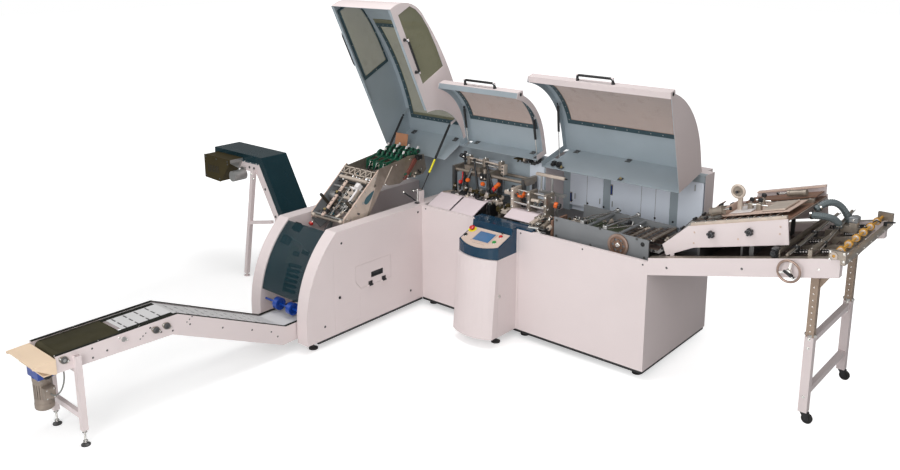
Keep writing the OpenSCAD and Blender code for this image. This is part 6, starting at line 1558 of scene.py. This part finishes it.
# --- sheet feeder
class BINDER_OT_feeder(Operator):
    """Belts, clamps, rails, straps and knobs of the sheet feeder"""
    bl_idname = "binder.feeder"
    bl_label = "Sheet feeder"

    def execute(self, context):
        # flat belts over the inclined rails, on small rollers
        p = Kit("feeder-belts", "belt_brown steel_warm chrome black_metal")
        path = np.array([(-0.245, 0.9995), (0.0, 0.9995), (0.09, 1.0935), (0.25, 1.2825), (0.395, 1.3235)])
        for k, y in enumerate((0.159, 0.309, 0.459, 0.609)):
            s = spaced(path, 8)
            p.strip(s, [(y - 0.014, 0.0), (y + 0.014, 0.0), (y + 0.014, 0.0035), (y - 0.014, 0.0035)], 1)
            for q in s[2::4]:
                p.turned((q[0], y - 0.024, q[1] + (0.013 if q[0] > 0.05 else -0.012)), BACK,
                    [(0, 0.008), (0.002, 0.01), (0.046, 0.01), (0.048, 0.008)], 3, 16)
        for q, r in ((path[0], 0.012), (path[2], 0.011), (path[3], 0.012)):
            p.roller((q[0], 0.12, q[1] - 0.016), (q[0], 0.66, q[1] - 0.016), r, 1, 2)
        # ramp boards beside the belts
        p = Kit("feeder-ramp", "ramp_brown cream_pink steel_warm chrome")
        for y0, y1 in ((0.176, 0.29), (0.326, 0.44), (0.476, 0.59)):
            p.plate([(-0.24, 0.985), (0.002, 0.985), (0.096, 1.082), (0.248, 1.262), (0.248, 1.256), (0.1, 1.074),
                (0.006, 0.979), (-0.24, 0.979)], y0, y1, 0, 1)
        p.plate([(0.092, 1.12), (0.104, 1.134), (0.246, 1.3), (0.246, 1.29), (0.108, 1.128)], 0.628, 0.76, 1, 1)
        p.bar((0.08, 0.13, 1.11), (0.08, 0.78, 1.11), 0.008, 2)
        for y in (0.14, 0.46, 0.77):
            p.pillow((0.08, y, 1.09), 2, 3)
        # deck mechanism on the upper housing
        p = Kit("feeder-deck-plates", "cream_pink wood_brown white_part cream_metal chrome steel_warm")

        def deck(x0, x1, y0, y1, h, t, f):
            """Plate parallel to the housing's sloping top."""
            q = [(x0, box_top(x0) + h), (x1, box_top(x1) + h), (x1, box_top(x1) + h + t), (x0, box_top(x0) + h + t)]
            p.plate(q, y0, y1, f, 1)

        for args in ((0.255, 0.94, 0.112, 0.888, -0.014, 0.004, 1), (0.262, 0.93, 0.112, 0.14, -0.01, 0.03, 3),
                (0.262, 0.93, 0.64, 0.668, -0.01, 0.03, 5), (0.43, 0.9, 0.25, 0.6, 0.02, 0.006, 0),
                (0.47, 0.62, 0.29, 0.52, 0.03, 0.004, 2), (0.7, 0.86, 0.28, 0.56, 0.03, 0.01, 3),
                (0.43, 0.44, 0.25, 0.6, 0.02, 0.06, 0), (0.3, 0.4, 0.18, 0.62, 0.0, 0.008, 5),
                (0.42, 0.93, 0.7, 0.86, 0.02, 0.012, 1), (0.44, 0.935, 0.86, 0.884, 0.06, 0.012, 0)):
            deck(*args)
        for x in np.linspace(0.29, 0.9, 9):
            for y in (0.126, 0.654):
                p.bolt((x, y, box_top(x) + 0.02), (-0.27, 0, 1), 4, 0.005, 0.004)
        p = Kit("feeder-deck-works", "cream_metal steel_warm chrome black_metal wood_brown cream_pink")
        for k in range(11):
            x = 0.3 + 0.052 * k
            p.box((x, 0.142, box_top(x) - 0.006), (x + 0.026, 0.168, box_top(x) + 0.026), 3, 0.004)
            p.bar((x + 0.013, 0.15, box_top(x) + 0.012), (x + 0.013, 0.64, box_top(x) + 0.012), 0.0045, 2)
        p.ram((0.35, 0.25, box_top(0.35) + 0.06), (0.5, 0.24, box_top(0.5) + 0.08), 0.03, 1, 2, 3)
        p.ram((0.86, 0.7, box_top(0.86) + 0.06), (0.64, 0.72, box_top(0.64) + 0.07), 0.022, 1, 2, 3)
        # chrome ring wheel and the clamps above the feed edge
        p = Kit("feeder-ring-wheel", "chrome steel_warm black_metal cream_metal", bevel=0)
        c = np.array([0.497, 0.35, 1.505])
        p.hoop(c, 0.044, 0.0105, 40, 10, 3)
        p.turned(c + [0, 0.004, 0], BACK, [(0, 0.04), (0.003, 0.04)], 1, 32)
        p.bar(c + [0, -0.02, 0], c + [0, 0.06, 0], 0.01, 1)
        p.knob(c + [0, -0.02, 0], FRONT, 0.012, 0.012, 2)
        p.box(c + [-0.016, 0.04, -0.185], c + [0.016, 0.06, 0.016], 3, 0.004)
        for dx, dy in ((0.075, 0.06), (0.115, 0.18), (0.155, 0.01)):
            q = np.array([c[0] + dx, c[1] + dy, box_top(c[0] + dx) + 0.056])
            p.box(q + [-0.018, -0.018, -0.06], q + [0.018, 0.018, 0.02], 1, 0.005)
            p.knob(q + [0, 0, 0.02], (0.2, 0, 1), 0.018, 0.024, 2, 7, 0.014)
            p.bar(q + [-0.05, 0, 0], q + [0.06, 0, 0.01], 0.008)
        # cross bars of the pile table: slotted profiles with dotted straps between
        p = Kit("pile-bars", "steel_warm chrome black_metal ramp_brown cream_pink")
        for x in (0.905, 1.11):
            z = beam_z(x) + 0.048
            for dx in (0.0055, 0.0175):
                p.box((x + dx - 0.003, 0.045, z), (x + dx + 0.003, 1.035, z + 0.005), 0, 0.001)
            for y in np.linspace(0.08, 1.0, 6):
                p.bolt((x + 0.0115, y, z + 0.002), UP, 1, 0.0048)
        for x in (0.96, 1.03, 1.09, 1.16, 1.215):
            z = beam_z(x)
            p.box((x - 0.012, 0.062, z - 0.04), (x + 0.012, 1.018, z - 0.032), 3, 0.002)
        p = Kit("dotted-straps", "black_plastic white_part", bevel=0.0004)
        for y, x0, x1 in ((0.2, 0.96, 1.1), (0.2, 1.14, 1.26), (0.48, 0.97, 1.1), (0.68, 1.14, 1.25),
                (0.9, 0.98, 1.23)):
            q = [(x0, beam_z(x0) - 0.02), (x1, beam_z(x1) - 0.02), (x1, beam_z(x1) + 0.004),
                (x0, beam_z(x0) + 0.004)]
            p.plate(q, y, y + 0.016, 0, 1)
            for x in np.linspace(x0 + 0.014, x1 - 0.014, 7):
                p.rivet((x, y - 0.0002, beam_z(x) - 0.008), FRONT, 0.0055, 0.0016, 1, 12)
                p.rivet((x, y + 0.008, beam_z(x) + 0.0042), UP, 0.0045, 0.0012, 1, 12)
        # inner side guides in front of and behind the pile
        p = Kit("pile-guides", "steel_warm black_metal chrome ramp_brown cream_pink brass")
        for a0, b0 in (((0.985, 0.02, 1.232), (1.01, 0.96, 1.3)), ((1.13, 0.16, 1.262), (1.09, 1.02, 1.325))):
            p.bar(a0, b0, 0.01)
            p.bar(np.array(a0) + [0.02, 0, 0.01], np.array(b0) + [0.02, 0, 0.01], 0.004, 2)
            for t in (0.15, 0.5, 0.85):
                q = np.array(a0) * (1 - t) + np.array(b0) * t
                p.box(q + [-0.014, -0.016, -0.02], q + [0.026, 0.016, 0.02], 1)
                p.bolt(q + [0.006, 0, 0.02], UP, 2, 0.005)
        for y in (0.1, 0.4, 0.74):
            p.box((0.76, y, beam_z(0.76) - 0.06), (0.9, y + 0.05, beam_z(0.76) - 0.03), 3)
        # plate on the near beam's inner face: its cream finish is painted light that lifts a face lying in shade
        p.plate([(0.38, beam_z(0.38) - 0.05), (0.9, beam_z(0.9) - 0.05), (0.9, beam_z(0.9) - 0.042),
            (0.38, beam_z(0.38) - 0.042)], 0.07, 0.096, 4, 1)
        p.box((0.876, 0.02, beam_z(0.88) + 0.002), (0.924, 0.08, beam_z(0.88) + 0.07), 1, 0.008)
        p.knob((0.9, 0.02, beam_z(0.88) + 0.036), FRONT, 0.022, 0.024, 1, 7)
        # sensor block with its stalk and black lead
        p = Kit("feeder-sensor", "plate_grey black_plastic chrome steel_warm")
        z = beam_z(1.18)
        p.box((1.176, 0.634, z + 0.086), (1.236, 0.706, z + 0.128), 0, 0.006)
        p.bar((1.205, 0.67, z + 0.04), (1.205, 0.67, z + 0.1), 0.008, 2)
        p.bolt((1.206, 0.634, z + 0.106), FRONT, 2)
        p.hose([(1.226, 0.7, z + 0.066), (1.29, 0.74, z - 0.01), (1.28, 0.82, z + 0.12), (1.315, 0.9, z + 0.05)],
            0.0045, 1)
        # bearing housings, end bar fittings, strap holes and bolts of the frame
        p = Kit("feeder-frame-fittings", "steel_dark chrome cream_pink black_plastic cream_metal")
        for x in (0.15, 0.7, 1.2):
            p.bolt((x, -0.0002, beam_z(x) - 0.075), FRONT, 1 if x > 1 else 0, 0.0055, 0.004)
        shaft_x, bar_x = 1.285, 1.325
        shaft_z = beam_z(bar_x) + 0.012
        p.ring((shaft_x, -0.0104, shaft_z), FRONT, [(0, 0.01), (0, 0.023), (0.003, 0.0245), (0.007, 0.0225),
            (0.007, 0.01)], 4, 28)
        for dx, dz in ((-0.024, 0.026), (0.06, 0.026), (-0.024, -0.03), (0.06, -0.03)):
            p.bolt((shaft_x + dx, -0.0104, shaft_z + dz * 0.9), FRONT, 1, 0.005, 0.004)
        for y in np.linspace(0.08, 1.02, 7):
            p.bolt((bar_x + 0.0302, y, beam_z(bar_x) - 0.025), RIGHT, 1, 0.0055, 0.004)
        for k, y in enumerate((0.197, 1.018)):
            for z in (0.2, 0.56, 0.625):
                p.bolt((1.13, y - 0.0302, z), FRONT, 1, 0.0075, 0.006)
            for z in np.arange(0.68, 1.04, 0.045):
                p.rivet((1.13, y - 0.0254, z), FRONT, 0.0062, 0.001, 1, 12)
            p.ring((1.13, y, 0.64), UP, [(0, 0.0262), (0, 0.041), (0.004, 0.0425), (0.016, 0.0425), (0.02, 0.04),
                (0.02, 0.0262)], 1, 4)
        for x, dz in ((0.3, -0.05), (0.3, -0.13), (0.62, -0.12), (0.9, -0.05), (0.9, -0.1)):
            p.bolt((x, 0.099, box_top(x) + dz), FRONT, 2, 0.0045, 0.003)
        # hose clamps with their worm screws
        p = Kit("hose-clamps", "chrome steel_dark", bevel=0)
        for c, d in (((0.966, 0.505, 1.387), (1, 0.05, 0.14)), ((1.12, 0.6, 1.33), (0, 0.5, -0.9)),
                ((0.97, 0.64, 1.415), (0.6, 0.8, 0.5))):
            p.ring(c, d, [(-0.006, 0.0278), (-0.006, 0.0292), (0.006, 0.0292), (0.006, 0.0278)], n=32)
            q = np.array(c) + [0, 0, 0.03]
            p.bar(q + [-0.006, -0.01, 0], q + [-0.006, 0.01, 0], 0.0042, 1)
        # caps on the star knobs, felt rim on the handwheel
        for name, x in (("left_star_knob", 0.43), ("right_star_knob", 0.7)):
            p = Kit(name + "-cap", "black_plastic seam_grey", bevel=0, body=name)
            p.grid(lathe((x, 0.0662, box_top(x) - 0.07), FRONT, [(0, POLE), (0, 0.013), (0.002, 0.0125), (0.004,
                0.009), (0.005, POLE)], 24))
            p.ring((x, 0.0663, box_top(x) - 0.07), FRONT, [(0, 0.015), (0, 0.0165), (0.0008, 0.0165),
                (0.0008, 0.015)], 1)
        p = Kit("handwheel-trim", "rim_brown black_plastic chrome", bevel=0, body="handwheel")
        c = np.array([1.025, -0.04, beam_z(1.025) - 0.077])
        p.hoop(c, 0.072, 0.0086, 64, 12)
        p.grid(lathe(c + [0, 0.012, 0], FRONT, [(0.022, POLE), (0.0225, 0.019), (0.0265, 0.017), (0.0275, 0.01),
            (0.0275, POLE)], 28), 2)
        # rubber grooves and hubs of the orange wheels
        p = Kit("orange-wheel-hubs", "black_plastic cream_metal", bevel=0, body="orange_wheels")
        for k in range(6):
            y = 0.12 + 0.16 * k
            for q, d in ((y, -1), (y + 0.026, 1)):
                p.ring((shaft_x, q, shaft_z), (0, d, 0), [(0, 0.0092), (0, 0.02), (0.003, 0.0195), (0.005, 0.015),
                    (0.012, 0.013), (0.012, 0.0092)], 1, 28)
            p.ring((shaft_x, y + 0.011, shaft_z), BACK, [(0, 0.0258), (0, 0.0268), (0.004, 0.0268), (0.004,
                0.0258)], n=36)
        return make_kits()


# --- casing
class BINDER_OT_casing(Operator):
    """Bolts, the strips of painted shade under the panels, and feet's nuts of the casing"""
    bl_idname = "binder.casing"
    bl_label = "Casing fittings"

    def execute(self, context):
        p = Kit("casing-screws", "screw_dark chrome", bevel=0)
        for x in (-0.04, -0.56, -1.15, -1.64, -2.2):
            p.bolt((x, -0.0002, 0.92), FRONT, 0, 0.0045, 0.002)
        for y in (0.05, 0.52, 1.03):
            p.bolt((0.0002, y, 0.92), RIGHT, 0, 0.005, 0.002)
        for y, z in ((-0.978, 0.844), (-0.056, 0.893), (0.011, 0.877), (-1.18, 0.18), (-0.16, 0.18)):
            p.bolt((X_LEFT + 0.0002, y, z), RIGHT, 0, 0.0065, 0.003)
        # black strips under the panels: painted shade of the gap, over the dark base frame
        p = Kit("casing-gap-shade", "black_plastic black_metal")
        for a, b in (((X_LEFT - 0.03, -1.25, 0.046), (X_LEFT - 0.005, 0.004, 0.0695)), ((X_LEFT - 0.004, 0.005,
                0.046), (-0.005, 0.03, 0.0695)), ((-0.03, 0.03, 0.046), (-0.005, 1.07, 0.0695))):
            p.box(a, b, 0, 0.002)
        # lock nuts under the base frame
        p = Kit("feet-nuts", "chrome rubber", bevel=0.0004)
        for x, y in ((-0.09, 0.09), (-1.15, 0.09), (X_LEFT + 0.06, 0.09), (-0.09, 1.021), (-1.275, 1.021),
                (-1.535, 0.555), (X_LEFT + 0.06, 0.555)):
            p.bolt((x, y, 0.024), UP, 0, 0.0135, 0.01)
            p.ring((x, y, 0.0005), UP, [(0, 0.0365), (0, 0.0386), (0.007, 0.0386), (0.0085, 0.037)], 1, 36)
        return make_kits()


class BINDER_PT_panel(bpy.types.Panel):
    """Lists the machine's settings and pieces"""
    bl_idname = "BINDER_PT_panel"
    bl_label = "Binding Machine"
    bl_space_type = "VIEW_3D"
    bl_region_type = "UI"
    bl_category = "Binding Machine"

    def draw(self, context):
        for group in (context.scene.binder_finish, context.scene.binder_sizes):
            for key in group.__annotations__:
                self.layout.prop(group, key)
        for cls in OPERATORS:
            self.layout.operator(cls.bl_idname)


OPERATORS = [c for c in list(globals().values()) if isinstance(c, type) and issubclass(c, Operator)
    and c is not Operator]
OPERATORS.sort(key=lambda c: {"binder.stage": 0, "binder.finishes": 1}.get(c.bl_idname, 2))
CLASSES = [BinderFinish, BinderSizes, *OPERATORS, BINDER_PT_panel]


def register():
    for cls in CLASSES:
        bpy.utils.register_class(cls)
    bpy.types.Scene.binder_finish = bpy.props.PointerProperty(type=BinderFinish)
    bpy.types.Scene.binder_sizes = bpy.props.PointerProperty(type=BinderSizes)


def unregister():
    del bpy.types.Scene.binder_finish, bpy.types.Scene.binder_sizes
    for cls in reversed(CLASSES):
        bpy.utils.unregister_class(cls)


def main():
    register()
    for cls in OPERATORS:
        group, name = cls.bl_idname.split(".")
        if getattr(getattr(bpy.ops, group), name)() != {"FINISHED"}:
            raise RuntimeError(cls.bl_label + " did not finish")
    boxes = [[[float(v) for v in corner] for corner in box] for box in (CAD_BOX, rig.bounds())]
    with open("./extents.json", "w") as f:
        json.dump(boxes, f)


if __name__ == "__main__":
    main()
